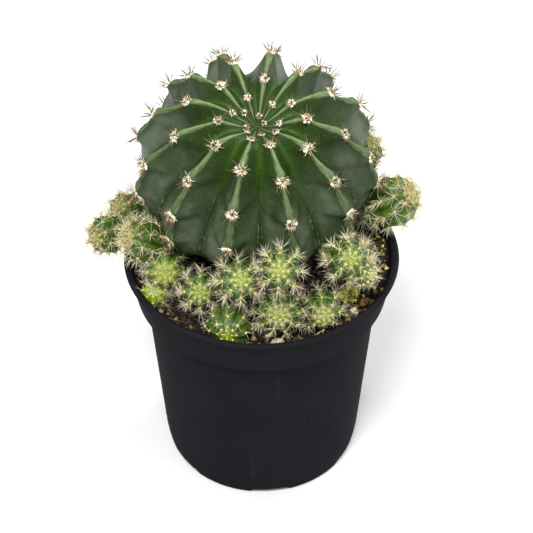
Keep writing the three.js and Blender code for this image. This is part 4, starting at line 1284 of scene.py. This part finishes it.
class CACTUS_OT_pups(bpy.types.Operator):
    """The pups round the stem's foot: a skin and a coat of bristles for each"""

    bl_idname = "cactus.pups"
    bl_label = "Pups"

    young_end = 3.4  # areoles nearer the crown than this, in millimetres down the skin, are young
    crown_end, far_end = 0.5, 9  # an old pup's bristles are golden down to this arc; past every areole
    seed, skin_seed, bud_seed = 100, 40, 70  # of the first pup's draws, of its skin and of the bud's
    # Tips under pot_top are left out: from pot_inner outwards where their areole lies inside pot_end,
    # and up to pot_outer where it lies outside. So are tips under the soil inside soil_end.
    pot_top, pot_inner, pot_outer, pot_end, soil_end = 109.6 * MM, 54.8 * MM, 61 * MM, 60 * MM, 58 * MM
    # Of old pups and of others: the shortest bristle, the shares shed low down and at the crown, and
    # how stout they are.
    coats = {True: (0.84, 0.3, 0.62, 1.3), False: (0.3, 0.55, 0.4, 1.0)}
    wool = (0.72, 0.62, 0.24), (0.78, 0.61, 0.19), (0.52, 0.31, 0.06)

    def coat(self, rng, pup, settings, part=(0, far_end)):
        """A pup's bristles: a dot of wool and a spread of bristles on each areole whose distance
        down the pup lies in part, left out where they would stand inside the stem, pot or soil."""
        feet, out, down, q = pup_areoles(pup)
        free = (stem_clearance(feet + out * MM) > 0.3 * MM) & (q >= part[0]) & (q < part[1])
        free &= feet[:, 2] > soil_top(feet[:, 0], feet[:, 1]) - MM
        feet, out, down, q = (values[free] for values in (feet, out, down, q))
        count = len(feet)
        down_mm = q * pup_arc(pup)[0] / MM
        size = settings.wool * np.clip(0.45 + 0.11 * down_mm, 0.5, 1) * (0.85 + 0.35 * rng.random(count))
        young = down_mm < self.young_end
        parts = []
        dots = feet + out * 0.1 * MM
        for some, high in ((young, 0.15), (~young, WOOL_TOP - 0.02)):
            if some.any():
                parts.append(lumps(rng, dots[some], out[some], size[some], 0.7, 0.16, high=high))
        each = int(round(6 + 7 * pup.bristle))
        aside = spread_round(rng, unit(np.cross(out, down)), down, each, 0.3)
        inner = (np.arange(each) % 4 == 0)[None] | young[:, None]
        tilt = np.where(inner, 0.1 + 0.6 * rng.random((count, each)), 0.75 + 0.6 * rng.random((count, each)))
        way = leaning(out, aside, tilt)
        least, shed_low, shed_young, stout = self.coats[pup.lime < GOLDEN]
        grown = np.clip(0.38 + 0.085 * down_mm, least, 1.08)[:, None] * min(1.0, 0.65 + 0.35 * pup.bristle)
        long = settings.spine * grown * (0.65 + 0.6 * rng.random((count, each)))
        start = feet[:, None] + out[:, None] * 0.15 * MM + aside * 0.2 * MM
        bend = aside * 0.08 + rng.normal(size=way.shape) * 0.09
        tip = start + (way + bend) * long[..., None]
        reach = np.hypot(tip[..., 0], tip[..., 1])
        inside = np.hypot(feet[:, 0], feet[:, 1])[:, None] < self.pot_end
        in_pot = (tip[..., 2] < self.pot_top) & (reach > self.pot_inner) & (inside | (reach < self.pot_outer))
        under = (tip[..., 2] < soil_top(tip[..., 0], tip[..., 1])) & (reach < self.soil_end)
        shed = np.maximum(shed_low * np.clip((q[:, None] - 1.05) / 0.25, 0, 1), shed_young * young[:, None])
        keep = (rng.random((count, each)) >= shed) & (stem_clearance(tip) > 0.2 * MM) & ~in_pot & ~under
        thick = (0.056 + 0.026 * rng.random(keep.sum())) * MM * stout
        parts.append(needles(rng, start[keep], way[keep], long[keep], thick, bend[keep]))
        return parts

    def execute(self, context):
        settings = context.scene.cactus_pup
        white = bristle_finish("pup_bristles", self.wool, (0.8, 0.66, 0.3), (0.9, 0.84, 0.6),
                               (0.36, 0.3, 0.2), 0.6)
        golden = bristle_finish("pup_golden_bristles", self.wool, (0.75, 0.56, 0.24), (0.92, 0.79, 0.5),
                                (0.3, 0.22, 0.12), 0.56)
        for index, pup in enumerate(PUPS):
            name = f"pup_{index + 1:02d}"
            rng = np.random.default_rng(self.seed + index)
            skins = [pup_skin(pup, self.skin_seed + index)]
            old = pup.lime < GOLDEN
            if old:
                crown = gathered(self.coat(rng, pup, settings, (0, self.crown_end)))
                make_piece(name + "_crown_bristles", *crown, "pup_flesh", golden)
            coats = self.coat(rng, pup, settings, (self.crown_end if old else 0, self.far_end))
            if index == BUD_PARENT:
                skins.append(pup_skin(BUD, self.bud_seed))
                coats += self.coat(rng, BUD, settings)
            values = {key: np.concatenate([skin[3][key] for skin in skins]) for key in skins[0][3]}
            finish = pup_finish(settings, index + 1, pup.lime)
            skin = gathered([skin[:3] for skin in skins])
            make_piece(name + "_skin", *skin, "pup_flesh", finish, [name], values)
            make_piece(name + "_bristles", *gathered(coats), "pup_flesh", white)
        return {"FINISHED"}


class CACTUS_PT_panel(bpy.types.Panel):
    """Lists the pieces and their settings"""

    bl_label = "Potted Round Cactus"
    bl_idname = "CACTUS_PT_panel"
    bl_space_type = "VIEW_3D"
    bl_region_type = "UI"
    bl_category = "Cactus"

    def draw(self, context):
        for operator in OPERATORS:
            self.layout.operator(operator.bl_idname)
        for name, group in SETTINGS.items():
            box = self.layout.box()
            box.label(text=group.__name__.replace("Settings", ""))
            for key in group.__annotations__:
                box.prop(getattr(context.scene, name), key)


SETTINGS = {
    "cactus_stage": StageSettings,
    "cactus_pot": PotSettings,
    "cactus_soil": SoilSettings,
    "cactus_stem": StemSettings,
    "cactus_pup": PupSettings,
}
OPERATORS = (
    CACTUS_OT_stage,
    CACTUS_OT_pot,
    CACTUS_OT_soil,
    CACTUS_OT_bits,
    CACTUS_OT_stem,
    CACTUS_OT_stem_spines,
    CACTUS_OT_pups,
)
CLASSES = (*SETTINGS.values(), *OPERATORS, CACTUS_PT_panel)


def register():
    for cls in CLASSES:
        bpy.utils.register_class(cls)
    for name, group in SETTINGS.items():
        setattr(bpy.types.Scene, name, PointerProperty(type=group))


def unregister():
    for name in SETTINGS:
        delattr(bpy.types.Scene, name)
    for cls in reversed(CLASSES):
        bpy.utils.unregister_class(cls)


def plain(box):
    return [[float(x) for x in corner] for corner in box]


def main():
    """Makes every piece in order."""
    register()
    for operator in OPERATORS:
        group, name = operator.bl_idname.split(".")
        getattr(getattr(bpy.ops, group), name)()
    {"solids": plain(solids_box), "pieces": plain(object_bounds())}


if __name__ == "__main__":
    main()
